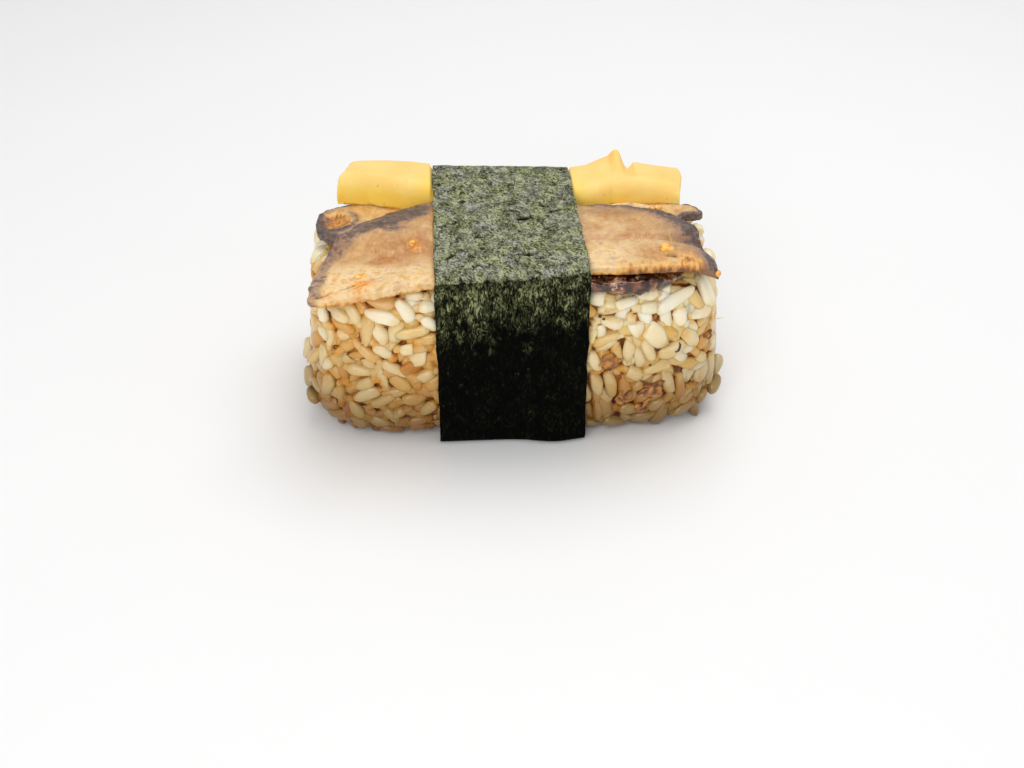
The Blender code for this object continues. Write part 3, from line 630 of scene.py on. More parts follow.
def pork_look(name, tones=((0.50, 0.245, 0.090), (0.62, 0.355, 0.145), (0.74, 0.49, 0.23))):
    """Grilled pork: tan meat with pale fat, browned and charred towards its rim."""
    look = Look(name, Roughness=0.45, Subsurface_Weight=0.22, Subsurface_Scale=1.2 * MM,
                Subsurface_Radius=(1.0, 0.45, 0.22), Specular_IOR_Level=0.35, Coat_Weight=0.06,
                Coat_Roughness=0.3)
    fibres = look.noise(1.7 * MM, 4.0, look.stretched(1.15, 0.55, 1.0, 10), 0.3)
    blotches = look.noise(4.5 * MM, 5.0)
    medium = look.noise(2.2 * MM, 4.0, None, 0.4)
    fine = look.noise(0.8 * MM, 4.0)
    level = look.mix(blotches, look.mix(fibres, fine, 0.4), 0.45)
    meat = look.ramp(level, (0.38, tones[0]), (0.50, tones[1]), (0.62, tones[2]))
    across = look.maths("ABSOLUTE", look.maths("SUBTRACT", look.noise(6.5 * MM, 3.0), 0.5))
    veins = look.ramp(look.mix(across, fine, 0.08), (0.03, 0.10), (0.10, 0.0))
    meat = look.mix(meat, (0.84, 0.63, 0.38), veins)
    fat = look.ramp(look.mix(medium, fine, 0.35), (0.36, (0.68, 0.38, 0.13)), (0.46, (0.82, 0.56, 0.26)),
                    (0.58, (0.88, 0.68, 0.41)))
    body = look.cover(meat, fat, "fat", blotches, 0.8, 0.40)
    rusty = look.ramp(fine, (0.35, (0.40, 0.130, 0.038)), (0.65, (0.54, 0.23, 0.080)))
    body = look.cover(body, rusty, "rust", medium, 0.5, 0.45)
    browned = look.ramp(fine, (0.35, (0.22, 0.100, 0.045)), (0.65, (0.40, 0.205, 0.095)))
    halo = look.ragged(look.mask("halo"), look.mix(blotches, medium, 0.5), 0.9, 0.45)
    body = look.mix(body, browned, look.maths("MULTIPLY", 0.78, halo))
    streaks = look.noise(1.3 * MM, 3.0, look.stretched(1.5, 0.5, 0.5))
    # This mask carries real glaze and, at the front slice's foot, painted shade; the ramp below darkens
    # both.
    wet = look.shifted(look.mask("glaze"), streaks, 0.75)
    glazed = look.ramp(wet, (0.35, (0.86, 0.54, 0.17)), (0.55, (0.72, 0.34, 0.055)),
                       (0.80, (0.36, 0.120, 0.020)), (1.0, (0.11, 0.034, 0.012)))
    body = look.mix(body, glazed, look.ramp(wet, (0.12, 0.0), (0.45, 0.9)))
    orange = look.ramp(fine, (0.40, (0.74, 0.23, 0.020)), (0.60, (0.92, 0.47, 0.09)))
    body = look.cover(body, orange, "orange", medium, 0.8, 0.40)
    uneven = look.mix(look.mix(blotches, medium, 0.55), fine, 0.30)
    burn = look.shifted(look.mask("crust"), uneven, 0.85)
    scorched = look.ramp(look.mix(burn, fine, 0.35), (0.28, (0.42, 0.240, 0.135)),
                         (0.44, (0.300, 0.172, 0.118)), (0.58, (0.168, 0.104, 0.084)),
                         (0.78, (0.084, 0.058, 0.052)), (1.0, (0.034, 0.025, 0.023)))
    body = look.mix(body, scorched, look.ramp(burn, (0.06, 0.0), (0.30, 0.55), (0.60, 0.97)))
    specks = look.ramp(look.noise(0.9 * MM, 2.0, look.stretched(1, 1, 1, 50)), (0.66, 0.0), (0.74, 0.5))
    look.colour(look.mix(body, (0.62, 0.43, 0.27), look.maths("MULTIPLY", specks, look.mask("crust"))))
    look.roughness(look.ramp(fine, (0.35, 0.28), (0.70, 0.50)))
    look.bump(medium, 0.45 * MM, 0.6)
    look.bump(fine, 0.22 * MM, 0.8)
    return look.material


def strip_look():
    """Dark, sticky, sweet-glazed meat with pale flecks."""
    look = Look("pork_strip_glazed", Roughness=0.22, Coat_Weight=0.6, Coat_Roughness=0.12,
                Subsurface_Weight=0.08, Subsurface_Scale=0.8 * MM)
    lumps = look.noise(2.6 * MM, 4.0, None, 0.6)
    dark = look.ramp(lumps, (0.38, (0.016, 0.006, 0.004)), (0.48, (0.080, 0.022, 0.010)),
                     (0.58, (0.24, 0.080, 0.028)), (0.68, (0.44, 0.22, 0.09)))
    flecks = look.ramp(look.noise(1.7 * MM, 2.0), (0.60, 0.0), (0.68, 0.9))
    look.colour(look.mix(dark, (0.66, 0.48, 0.32), flecks))
    look.bump(look.noise(1.0 * MM, 3.0), 0.30 * MM, 0.8)
    return look.material


def egg_look():
    """Thick omelette: pale, even yellow on top, with painted shade that turns it deeper and more orange
    down its sides, beside the band and on its torn corner.
    """
    look = Look("egg_slab", Roughness=0.5, Subsurface_Weight=0.35, Subsurface_Scale=2.0 * MM,
                Subsurface_Radius=(1.0, 0.6, 0.15), Specular_IOR_Level=0.3)
    soft = look.noise(7 * MM, 2.0)
    pale = look.ramp(soft, (0.35, (0.96, 0.62, 0.185)), (0.65, (0.97, 0.68, 0.240)))
    deep = look.ramp(soft, (0.35, (0.99, 0.62, 0.080)), (0.65, (0.99, 0.70, 0.140)))
    body = look.cover(pale, deep, "deep", soft, 0.3, 0.5)
    specks = look.ramp(look.noise(1.2 * MM, 2.0), (0.70, 0.0), (0.75, 1.0))
    look.colour(look.mix(body, (0.80, 0.40, 0.06), look.maths("MULTIPLY", specks, 0.6)))
    look.bump(look.noise(3.0 * MM, 3.0), 0.16 * MM, 0.4)
    return look.material


def nori_look():
    """Toasted seaweed: a mesh of fine wavy fibres, with painted sheen, green and grey, on the top and
    upper sides, and painted shade, near black, lower down.
    """
    look = Look("nori_sheet", Roughness=0.65, Specular_IOR_Level=0.02)
    lying = look.noise(0.78 * MM, 4.0, look.stretched(1.0, 0.62, 1.0, -24), 1.6)
    upright = look.noise(0.74 * MM, 4.0, look.stretched(1.25, 1.0, 0.50), 1.4)
    on_top = look.mask("on_top")
    fibres = look.mix(upright, lying, on_top)
    clumps = look.noise(2.6 * MM, 4.0, look.stretched(1.0, 0.7, 0.7), 0.6)
    level = look.mix(fibres, clumps, 0.30)
    # Painted sheen: the light green and grey tones of the lit top.
    green = look.ramp(level, (0.38, (0.018, 0.021, 0.007)), (0.45, (0.095, 0.106, 0.040)),
                      (0.52, (0.215, 0.230, 0.112)), (0.60, (0.42, 0.44, 0.24)))
    grey = look.ramp(level, (0.38, (0.022, 0.023, 0.017)), (0.45, (0.110, 0.111, 0.092)),
                     (0.52, (0.205, 0.205, 0.175)), (0.60, (0.38, 0.378, 0.335)))
    patches = look.ramp(look.noise(3.4 * MM, 4.0, look.stretched(0.9, 0.7, 0.7, 20), 0.5),
                        (0.40, 0.1), (0.62, 0.75))
    bright = look.mix(green, grey, patches)
    # Painted shade: near black where the band's sides are unlit.
    dark = look.ramp(level, (0.42, (0.0008, 0.0009, 0.0007)), (0.56, (0.0025, 0.0028, 0.0018)),
                     (0.66, (0.012, 0.014, 0.007)))
    strands = look.ramp(level, (0.42, (0.004, 0.005, 0.002)), (0.49, (0.022, 0.025, 0.010)),
                        (0.55, (0.095, 0.102, 0.044)), (0.63, (0.30, 0.31, 0.14)))
    # The lit mask paints light and shade: painted shade low on the sides, partly lit strands higher up,
    # painted sheen on top.
    lit = look.mask("lit")
    uneven = look.noise(1.8 * MM, 4.0, look.stretched(1.0, 1.0, 0.6))
    body = look.mix(dark, strands, look.ramp(look.shifted(lit, uneven, 0.4), (0.12, 0.0), (0.52, 1.0)))
    body = look.mix(body, bright, look.ramp(look.shifted(lit, uneven, 0.6), (0.60, 0.0), (0.86, 1.0)))
    # Slits painted near black: painted shade for what would show through them, as they are only dented.
    look.colour(look.mix(body, (0.003, 0.003, 0.002), look.mask("slit")))
    look.roughness(look.ramp(fibres, (0.35, 0.50), (0.70, 0.75)))
    look.bump(level, 0.26 * MM, 0.9)
    return look.material


def lump_look(name, *tones):
    look = Look(name, Roughness=0.4, Subsurface_Weight=0.2, Subsurface_Scale=0.6 * MM)
    fine = look.noise(1.4 * MM, 3.0)
    look.colour(look.ramp(fine, *((0.35 + 0.3 * k / (len(tones) - 1), tone)
                                  for k, tone in enumerate(tones))))
    look.bump(fine, 0.15 * MM, 0.5)
    return look.material


def plain_look(name, colour, roughness):
    look = Look(name, Roughness=roughness)
    look.colour(look.mix(colour, tuple(c * 0.985 for c in colour), look.noise(40 * MM)))
    return look.material


# Making meshes

def new_object(name, data, place=(0, 0, 0), facing=None):
    """An object in the scene, turned to face a direction where one is given."""
    made = bpy.data.objects.new(name, data)
    bpy.context.scene.collection.objects.link(made)
    made.location = place
    if facing is not None:
        made.rotation_mode = "QUATERNION"
        made.rotation_quaternion = facing.to_track_quat("-Z", "Y")
    return made


def new_piece(name, mesh, material, slot, *nodes):
    """An object in the stack's place that stands for the CAD nodes named."""
    mesh.shade_smooth()
    mesh.materials.append(material)
    piece = new_object(name, mesh, STACK_AT)
    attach(piece, "root")
    if nodes:
        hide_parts(*nodes)
    return piece


def mesh_from(name, bm):
    mesh = bpy.data.meshes.new(name)
    bm.to_mesh(mesh)
    bm.free()
    return mesh


def mesh_of(name, points, faces):
    mesh = bpy.data.meshes.new(name)
    mesh.from_pydata(points, [], faces)
    return mesh


def joined(parts):
    """The points and faces of many parts, as those of one."""
    points, faces = [], []
    for some, around_them in parts:
        start = len(points)
        points += some
        faces += [[start + i for i in face] for face in around_them]
    return points, faces


def surface_of(objects, place):
    """One surface of many meshes, for casting rays on, with each point put where place says."""
    return BVHTree.FromPolygons(*joined(
        ([place(thing, v.co) for v in thing.data.vertices], [p.vertices for p in thing.data.polygons])
        for thing in objects))


def cast_out(surface, place, out, reach):
    """What a ray from just off a place meets within reach on the way out."""
    return surface.ray_cast(place + out * 0.1 * MM, out, reach)


def height_over(surface, place):
    """How far a place lies off a surface, and the way out there."""
    near, out, _, _ = surface.find_nearest(place)
    return (place - near).dot(out), out


def square_to(axis, way):
    """The direction nearest to a way that is square to an axis."""
    return (way - axis * way.dot(axis)).normalized()


def tree_of(places):
    """Finds which of some places are near a point."""
    tree = kdtree.KDTree(len(places))
    for index, place in enumerate(places):
        tree.insert(place, index)
    tree.balance()
    return tree


def add_mask(mesh, name, values):
    layer = mesh.attributes.new(name, "FLOAT", "POINT")
    layer.data.foreach_set("value", np.asarray(values, dtype=np.float32))


def add_masks(mesh, measure):
    """Stores at every point the named values that measure(x, y, z) gives there."""
    rows = [measure(*vertex.co) for vertex in mesh.vertices]
    for name in rows[0]:
        add_mask(mesh, name, [row[name] for row in rows])


def push_out(bm, amount):
    """Moves every vertex along its normal by amount(place, normal)."""
    bm.normal_update()
    moves = [vertex.normal * amount(vertex.co, vertex.normal) for vertex in bm.verts]
    for vertex, move in zip(bm.verts, moves):
        vertex.co += move


def flattened_ball(segments, rings, ring_power, height_power, outline, bottom, top):
    """A ball pressed into a slab: its outline from above, its bottom and its top."""
    bm = bmesh.new()
    bmesh.ops.create_uvsphere(bm, u_segments=segments, v_segments=rings, radius=1.0)
    middle = centre_of(outline)
    for vertex in bm.verts:
        reach = min(math.hypot(vertex.co.x, vertex.co.y), 1.0) ** ring_power
        height = math.copysign(abs(vertex.co.z) ** height_power, vertex.co.z)
        edge = outline(math.atan2(vertex.co.y, vertex.co.x))
        x = middle[0] + (edge[0] - middle[0]) * reach
        y = middle[1] + (edge[1] - middle[1]) * reach
        low, high = bottom(x, y), top(x, y)
        vertex.co = (x, y, (low + high) / 2 + (high - low) / 2 * height)
    return bm


def tree_along(outline, start, end, steps=400):
    """The places along a stretch of an outline, for finding how near a point is to it."""
    return tree_of([(*outline(start + (end - start) * k / steps), 0) for k in range(steps + 1)])


def near_band(x, reach):
    """1 at the band and under it, falling to 0 that far beside it."""
    return smoothstep(reach, 0, abs(x - BAND_X) - BAND_HALF_WIDTH)


# Pork

def make_front_slice():
    def top(x, y):
        beyond_band = rise(17, 24, abs(x - BAND_X))
        uneven = 0.25 * MM * ripple(x, y, 19 * MM, 1.9) * beyond_band
        free = front_slice_bottom(x, y) + FRONT_SLICE_THICKNESS + uneven
        return min(free, band_ceiling(x, y))

    rim = tree_along(front_slice_outline, 0.02, math.pi - 0.02)

    def crust_at(x, y, z):
        near, _, distance = rim.find((x, y, 0))
        width = float(np.interp(near.x, CRUST_AT, CRUST_WIDTH))
        strength = float(np.interp(near.x, CRUST_AT, CRUST_STRENGTH))
        uneven = 0.25 * cloud(x, y, z, 8 * MM, 3, 1.0)
        inner = 0.55 if x < BAND_X else 0.10
        return strength * smoothstep(1.10, inner, distance / width * (1 + uneven))

    def relief(place, normal):
        x, y, z = place
        free = 1 - near_band(x, 2 * MM)
        charred = smoothstep(0.1, 0.6, crust_at(x, y, z))
        blisters = 0.34 * MM * charred * cloud(x, y, z, 2.6 * MM, 3, 2.0)
        grain = 0.14 * MM * cloud(x, y, z, 4.5 * MM, 3, 5.0)
        edge = rise(-19, -24, y) * rise(-15, -19, x)
        lumps = 0.55 * MM * edge * cloud(x, y * 1.6, z * 1.6, 5.0 * MM, 2, 6.0)
        fold = rise(-32, -42, x) * rise(-17, -24, y)
        waves = z / (0.62 * MM) + 0.25 * x / MM + 0.9 * y / MM + 2 * cloud(x, y, z, 5 * MM)
        folds = 0.32 * MM * fold * math.sin(waves)
        cut_face = smoothstep(-0.4, -0.9, normal.y)
        ribs = 0.12 * MM * cut_face * cloud(x, 0, z * 0.2, 1.4 * MM, 2, 4.0)
        return (blisters + grain + lumps + folds + ribs) * free

    bm = flattened_ball(400, 116, 0.8, 0.28, front_slice_outline, front_slice_bottom, top)
    push_out(bm, relief)
    mesh = mesh_from("pork_front", bm)

    def measure(x, y, z):
        left = x < BAND_X
        low_front = rise(-14.5, -20, y + 0.12 * (x + 22 * MM))
        masks = {name: spots(x, y, marks) for name, marks in FRONT_SLICE_SPOTS.items()}
        on_cut = rise(-19.5, -24.5, y)
        under = rise(2.7, 0.6, z - front_slice_bottom(x, y))
        # Glaze on the right cut face, with painted shade that deepens it towards the slice's foot.
        glaze = masks["glaze"] + on_cut * rise(19, 25, x) * (0.34 + 0.60 * under)
        glaze += 0.8 * on_cut * rise(39, 42, x)
        # Painted shade along the foot of the slice's front, where it meets the rice, carried in the glaze
        # mask.
        shade = 0.60 * smoothstep(0.5, 1.0, under) * rise(-18, -24, y)
        masks["fat"] += 0.95 * low_front * left
        masks["glaze"] = max(glaze, shade)
        masks["orange"] += 0.42 * near_band(x, 1.6 * MM) * left
        masks["crust"] = max(crust_at(x, y, z), 0.75 * spot_mm(x, y, 43.5, -22.5, 2.4, 3.4),
                             0.55 * spot_mm(x, y, -26.5, -3.6, 4.2, 1.8),
                             0.35 * on_cut * rise(39.5, 43, x))
        return masks

    add_masks(mesh, measure)
    return new_piece("pork_front", mesh, pork_look("pork_front_grilled"), "roast_pork", "pork_front")


def make_back_slice():
    rim = tree_along(back_slice_outline, 0, 2 * math.pi)

    def hollow_reach(x, y):
        return math.hypot((x - HOLLOW_AT[0]) / HOLLOW_SIZE[0], (y - HOLLOW_AT[1]) / HOLLOW_SIZE[1])

    def top(x, y):
        reach = hollow_reach(x, y)
        lip = 0.75 * MM * math.exp(-(((reach - 1.05) / 0.35) ** 2))
        pit = 1.5 * MM * math.exp(-((reach / 0.55) ** 2))
        lip += 1.6 * MM * spot_mm(x, y, 29, 13.0, 5.5, 1.5)
        return low_slice_bottom(x, y) + BACK_SLICE_THICKNESS + lip - pit

    def relief(place, normal):
        x, y, z = place
        open_air = rise(16, 24, abs(x))
        charred = rise(-36, -43, x) + rise(36, 43, x)
        turn = math.atan2(y - HOLLOW_AT[1], x - HOLLOW_AT[0])
        rays = 0.22 * MM * math.sin(11 * turn + 3 * cloud(x, y, z, 3 * MM)) * spot(
            x, y, HOLLOW_AT, HOLLOW_SIZE)
        return (0.16 * cloud(x, y, z, 3.5 * MM, 3, 8.0)
                + 0.30 * charred * cloud(x, y, z, 2.0 * MM, 3, 9.0)) * MM * open_air + rays

    bm = flattened_ball(360, 90, 0.8, 0.25, back_slice_outline, low_slice_bottom, top)
    push_out(bm, relief)
    mesh = mesh_from("pork_back", bm)

    def measure(x, y, z):
        distance = rim.find((x, y, 0))[2]
        uneven = 0.4 * cloud(x, y, z, 4 * MM, 3, 1.0)
        reach = hollow_reach(x, y)
        left_end = rise(-30, -38, x)
        right_end = rise(34, 42, x)
        width = 0.9 + 1.6 * left_end * rise(13, 6, y)
        width = (width + 0.5 * right_end * rise(10, 5, y)) * MM
        rim_crust = 0.85 * smoothstep(1.5, 0.5, distance / width + uneven) * max(left_end, right_end, 0.3)
        ring_crust = 0.85 * left_end * math.exp(-(((reach - 1.15) / 0.22) ** 2))
        masks = {name: spots(x, y, marks) for name, marks in BACK_SLICE_SPOTS.items()}
        masks["halo"] = 0.50 * left_end * smoothstep(1.9, 1.2, reach)
        masks["halo"] += 0.35 * rise(3.5, 1, distance)
        masks["glaze"] = 0.85 * smoothstep(1.05, 0.55, reach)
        masks["orange"] = max(0.75 * spot(x, y, HOLLOW_AT, 2.6 * MM) * (0.75 + 0.5 * uneven),
                              0.9 * spot_mm(x, y, 35.4, 10.9, 2.0, 1.0),
                              0.6 * spot_mm(x, y, -26, 14, 3, 1.2))
        masks["crust"] = max(rim_crust, ring_crust * rise(14, 9, y))
        return masks

    add_masks(mesh, measure)
    look = pork_look("pork_back_grilled", ((0.60, 0.33, 0.12), (0.78, 0.50, 0.20), (0.86, 0.66, 0.35)))
    return new_piece("pork_back", mesh, look, "roast_pork", "pork_back")


def make_strip():
    def top(x, y):
        along = (x - STRIP_MIDDLE[0]) / STRIP_HALF[0]
        taper = 1 - 0.45 * smoothstep(0.3, 1.0, along)
        return low_slice_bottom(x, y) + STRIP_THICKNESS * taper

    def relief(place, normal):
        x, y, z = place
        shown = rise(-22, -25, y) * rise(16.5, 18.5, x)
        lumps = 0.80 * cloud(x, y, z, 3.4 * MM, 2, 6.0) + 0.40 * cloud(x, y, z, 1.4 * MM, 3, 7.0)
        return shown * lumps * MM + 0.3 * MM * shown

    bm = flattened_ball(260, 70, 0.6, 0.22, strip_outline, low_slice_bottom, top)
    push_out(bm, relief)
    return new_piece("pork_strip", mesh_from("pork_strip", bm), strip_look(), "glazed_pork", "pork_strip")


# Omelette

def make_slab():
    """A grid drawn out into a slab whose edges close in a round, as the solid is made."""
    bm = bmesh.new()
    columns, rows = 340, 56
    bmesh.ops.create_grid(bm, x_segments=columns, y_segments=rows, size=1.0)
    made = bmesh.ops.extrude_face_region(bm, geom=list(bm.faces), use_keep_orig=True)
    upper = {item for item in made["geom"] if isinstance(item, bmesh.types.BMVert)}
    for vertex in bm.verts:
        u, v = vertex.co.x, vertex.co.y
        along = 0.5 + 0.5 * math.sin(math.pi / 2 * u)
        x = SLAB_LEFT + (SLAB_RIGHT - SLAB_LEFT) * (0.15 * along + 0.85 * (u + 1) / 2)
        front = np.interp(x, SLAB_FRONT_AT, SLAB_FRONTS)
        share = 0.5 + 0.5 * math.sin(math.pi / 2 * v)
        y = front + (SLAB_BACK - front) * share
        x += (slab_end(-1, y) - SLAB_LEFT) * smoothstep(-36 * MM, SLAB_LEFT, x)
        x += (slab_end(1, y) - SLAB_RIGHT) * smoothstep(39 * MM, SLAB_RIGHT, x)
        low, high = slab_bottom(x, y), slab_top(x, y)
        low -= 0.40 * MM * rise(3, 0, y - front)
        ends = math.cos(math.pi / 2 * 0.995 * abs(u) ** 6)
        rim = (ends * math.cos(math.pi / 2 * 0.99 * max(v, 0))) ** 0.06
        side = 1 if vertex in upper else -1
        vertex.co = (x, y, (low + high) / 2 + side * (high - low) / 2 * rim)
    bmesh.ops.recalc_face_normals(bm, faces=bm.faces)

    def relief(place, normal):
        x, y, z = place
        end = rise(2, 0, x - slab_end(-1, y)) + rise(2, 0, slab_end(1, y) - x)
        front = smoothstep(-0.3, -0.8, normal.y)
        torn = (0.22 * end + 0.06 * front) * cloud(x, y, z, 2.2 * MM, 3, 3.0)
        return (torn + 0.07 * cloud(x, y, z, 6 * MM, 2, 4.0)) * MM * (1 - near_band(x, 2 * MM))

    push_out(bm, relief)
    mesh = mesh_from("egg", bm)

    def measure(x, y, z):
        # Painted shade: deeper orange lower down the sides, beside the band and on the bent-up torn
        # corner.
        depth = np.interp(x, SLAB_TOP_AT, SLAB_TOPS) - z
        low_down = rise(0.2, 4.4, depth)
        band_side = rise(6, 0.5, abs(x - BAND_X) - BAND_HALF_WIDTH)
        in_front = rise(24, 14, y)
        right_end = rise(24, 34, x)
        torn = 0.5 * spot_mm(x, y, 27.5, 26, 1.6, 2.5)
        return {"deep": low_down * (1 - 0.55 * right_end) + band_side * in_front * 0.7 + torn}

    add_masks(mesh, measure)
    return new_piece("egg", mesh, egg_look(), "omelette", "egg")


# Seaweed band

def slit_at(x, y):
    """1 inside one of the small slits in the band's top."""
    inside = 0.0
    for at_x, at_y, half_length, half_width, degrees in SLITS:
        c, s = math.cos(math.radians(degrees)), math.sin(math.radians(degrees))
        dx, dy = x / MM - at_x, y / MM - at_y
        reach = math.hypot((dx * c + dy * s) / half_length, (dy * c - dx * s) / half_width)
        inside = max(inside, smoothstep(1.25, 0.75, reach + 0.35 * cloud(x, y, 0, 1.2 * MM, 2)))
    return inside


def make_band():
    """A closed ring of small squares, bent to the stack's section, crinkled and thickened."""
    section = rounded_section(BAND_HALF_DEPTH, BAND_HEIGHT, BAND_CORNER, 8, 78, 98)
    count = len(section)
    columns = 66
    points = []
    for column in range(columns + 1):
        w = 2 * column / columns - 1
        for step, (y, z) in enumerate(section):
            turn = step / count
            x = BAND_X + BAND_HALF_WIDTH * w
            z *= band_top(x, y) / BAND_HEIGHT
            upright = smoothstep(BAND_HALF_DEPTH - 4 * MM, BAND_HALF_DEPTH, abs(y))
            wave = 0.2 * MM * ripple(x, z, 17 * MM, 0.4) * rise(0, 8, z)
            flare = 1.5 * MM * math.exp(-(((x - 9 * MM) / (6 * MM)) ** 2)) if y < 0 else 0
            y += math.copysign(1, y) * upright * (wave + flare * rise(14, 0, z))
            ragged = 0.10 * math.sin(31 * turn * math.pi) + 0.18 * cloud(x, y, z, 4 * MM, 4)
            x += math.copysign(abs(w) ** 9, w) * ragged * MM
            points.append((x, y, z))
    faces = []
    for column in range(columns):
        for step in range(count):
            a, b = column * count + step, column * count + (step + 1) % count
            faces.append((a, b, b + count, a + count))
    mesh = mesh_of("nori", points, faces)
    bm = bmesh.new()
    bm.from_mesh(mesh)
    bmesh.ops.recalc_face_normals(bm, faces=bm.faces)

    def relief(place, normal):
        x, y, z = place
        off_ground = rise(0.5, 3, z)
        crinkle = 0.15 * cloud(x, y * 0.7, z, 3.5 * MM, 3) + 0.06 * cloud(x, y, z, 1.4 * MM, 2, 2.0)
        dent = 0.30 * slit_at(x, y) if normal.z > 0.5 else 0
        return (crinkle * off_ground - dent) * MM

    push_out(bm, relief)
    bm.to_mesh(mesh)
    bm.free()

    def measure(x, y, z):
        below = band_top(x, y) - z
        on_top = rise(2.4, 0.5, below)
        # Painted light: full on top, patchy and fading down the sides, leaving painted shade lower down.
        patchy = 0.80 + 0.6 * cloud(x, y, z, 5 * MM)
        side_light = 0.62 * rise(23, 0.5, below) * patchy
        slit = slit_at(x, y) if on_top > 0.5 else 0.0
        return {"on_top": on_top, "slit": slit,
                "lit": max(rise(1.9, 0.4, below), min(side_light, 0.62))}

    add_masks(mesh, measure)
    band = new_piece("nori", mesh, nori_look(), "toasted_seaweed", "nori")
    skin = band.modifiers.new("thickness", "SOLIDIFY")
    skin.thickness = BAND_THICKNESS
    skin.offset = -1.0
    return band


# Rice

def core_point(u, v, w):
    """Where a point of the cube from -1 to 1 lies on the block's rounded core."""
    plan = (abs(u) ** CORE_CORNER_POWER + abs(v) ** CORE_CORNER_POWER) ** (1 / CORE_CORNER_POWER)
    reach = (plan ** CORE_EDGE_POWER + abs(w) ** CORE_EDGE_POWER) ** (1 / CORE_EDGE_POWER)
    x = CORE_X + CORE_HALF_LENGTH * flared(w) * u / reach
    y = CORE_HALF_DEPTH * v / reach
    y *= 1 + 0.04 * (1 - rise(13, 17, abs(x - BAND_X)))
    high = rice_top(x, y)
    return x, y, (CORE_BOTTOM + high) / 2 + (high - CORE_BOTTOM) / 2 * w / reach


def core_mesh(cuts):
    """A cube of small squares drawn in to the core's rounded edges."""
    bm = bmesh.new()
    bmesh.ops.create_cube(bm, size=2.0)
    bmesh.ops.subdivide_edges(bm, edges=bm.edges, cuts=cuts, use_grid_fill=True)
    for vertex in bm.verts:
        vertex.co = core_point(*vertex.co)
    return bm


def starch_heights(places, normals, ceilings, grains):
    """How far each place rises to meet a skin that is drawn over the grains round it."""
    reach = GRAIN_HALF_LENGTH - STARCH_RADIUS
    tree = tree_of(beads_of(grains, reach))
    centres = np.array([grain["centre"] for grain in grains])
    longs = np.array([grain["long"] for grain in grains])
    beads = [[found[1] for found in tree.find_n(place, 12)] for place in places]
    near = np.sort(np.array(beads) // 3, axis=1)
    again = np.zeros(near.shape, dtype=bool)
    again[:, 1:] = near[:, 1:] == near[:, :-1]
    steps = np.linspace(3.0 * MM, 0.0, 21)
    heights = np.full(len(places), 0.1 * MM)
    done = np.zeros(len(places), dtype=bool)
    before = np.full(len(places), 1.0)
    for index, step in enumerate(steps):
        away = (places + normals * step)[:, None, :] - centres[near]
        along = np.clip((away * longs[near]).sum(2), -reach, reach)
        distance = np.linalg.norm(away - longs[near] * along[:, :, None], axis=2) - STARCH_RADIUS
        distance[again] = 1.0
        skin = -STARCH_BLEND * np.log(np.exp(-distance / STARCH_BLEND).sum(1))
        crossed = ~done & (skin < 0)
        share = np.clip(before / np.maximum(before - skin, 1e-9), 0, 1)
        past = steps[max(index - 1, 0)]
        heights[crossed] = (past + (step - past) * share)[crossed]
        done |= crossed
        before = skin
    return np.minimum(np.minimum(heights, STARCH_LIMIT), ceilings)


def make_starch(toppings, grains):
    """The sticky starch that joins the grains into one mass."""
    bm = core_mesh(STARCH_CUTS)
    bm.normal_update()
    exposed, ceilings = [], []
    for vertex in bm.verts:
        hit = cast_out(toppings, vertex.co, vertex.normal, 6 * MM)
        if vertex.co.z > 0.95 * MM and (hit[0] is None or hit[3] > 1.5 * MM):
            exposed.append(vertex)
            ceilings.append(9 * MM if hit[0] is None else max(hit[3] - 0.7 * MM, 0))
    places = np.array([vertex.co for vertex in exposed])
    normals = np.array([vertex.normal for vertex in exposed])
    heights = starch_heights(places, normals, np.array(ceilings), grains)
    low = {vertex.index: 1.0 for vertex in bm.verts}
    for vertex, height in zip(exposed, heights):
        x, y, z = vertex.co
        # How little the starch rises here: soy and painted shade deepen with it.
        low[vertex.index] = rise(1.4, -0.1, height)
        vertex.co += vertex.normal * (height + 0.10 * MM * cloud(x, y, z, 1.3 * MM, 2, 12.0))
        vertex.co.z = max(vertex.co.z, 0.2 * MM)
    mesh = mesh_from("rice_starch", bm)
    add_mask(mesh, "low", [low[index] for index in range(len(mesh.vertices))])
    add_mask(mesh, "stain", [0.9 * rice_stain(vertex.co) for vertex in mesh.vertices])
    return new_piece("rice_starch", mesh, starch_look(), "cooked_rice", "rice")


def topping_surfaces():
    """The solids on and round the block, in the stack's coordinates, as one surface."""
    nodes = [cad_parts[name] for name in ("pork_back", "pork_strip", "pork_front", "egg", "nori")]
    return surface_of(nodes, lambda node, place: node.matrix_world @ place - STACK_AT)


def beads_of(grains, reach):
    """Three places along each grain that stand for it where nearness is measured."""
    return [grain["centre"] + grain["long"] * (k * reach) for grain in grains for k in (-1, 0, 1)]


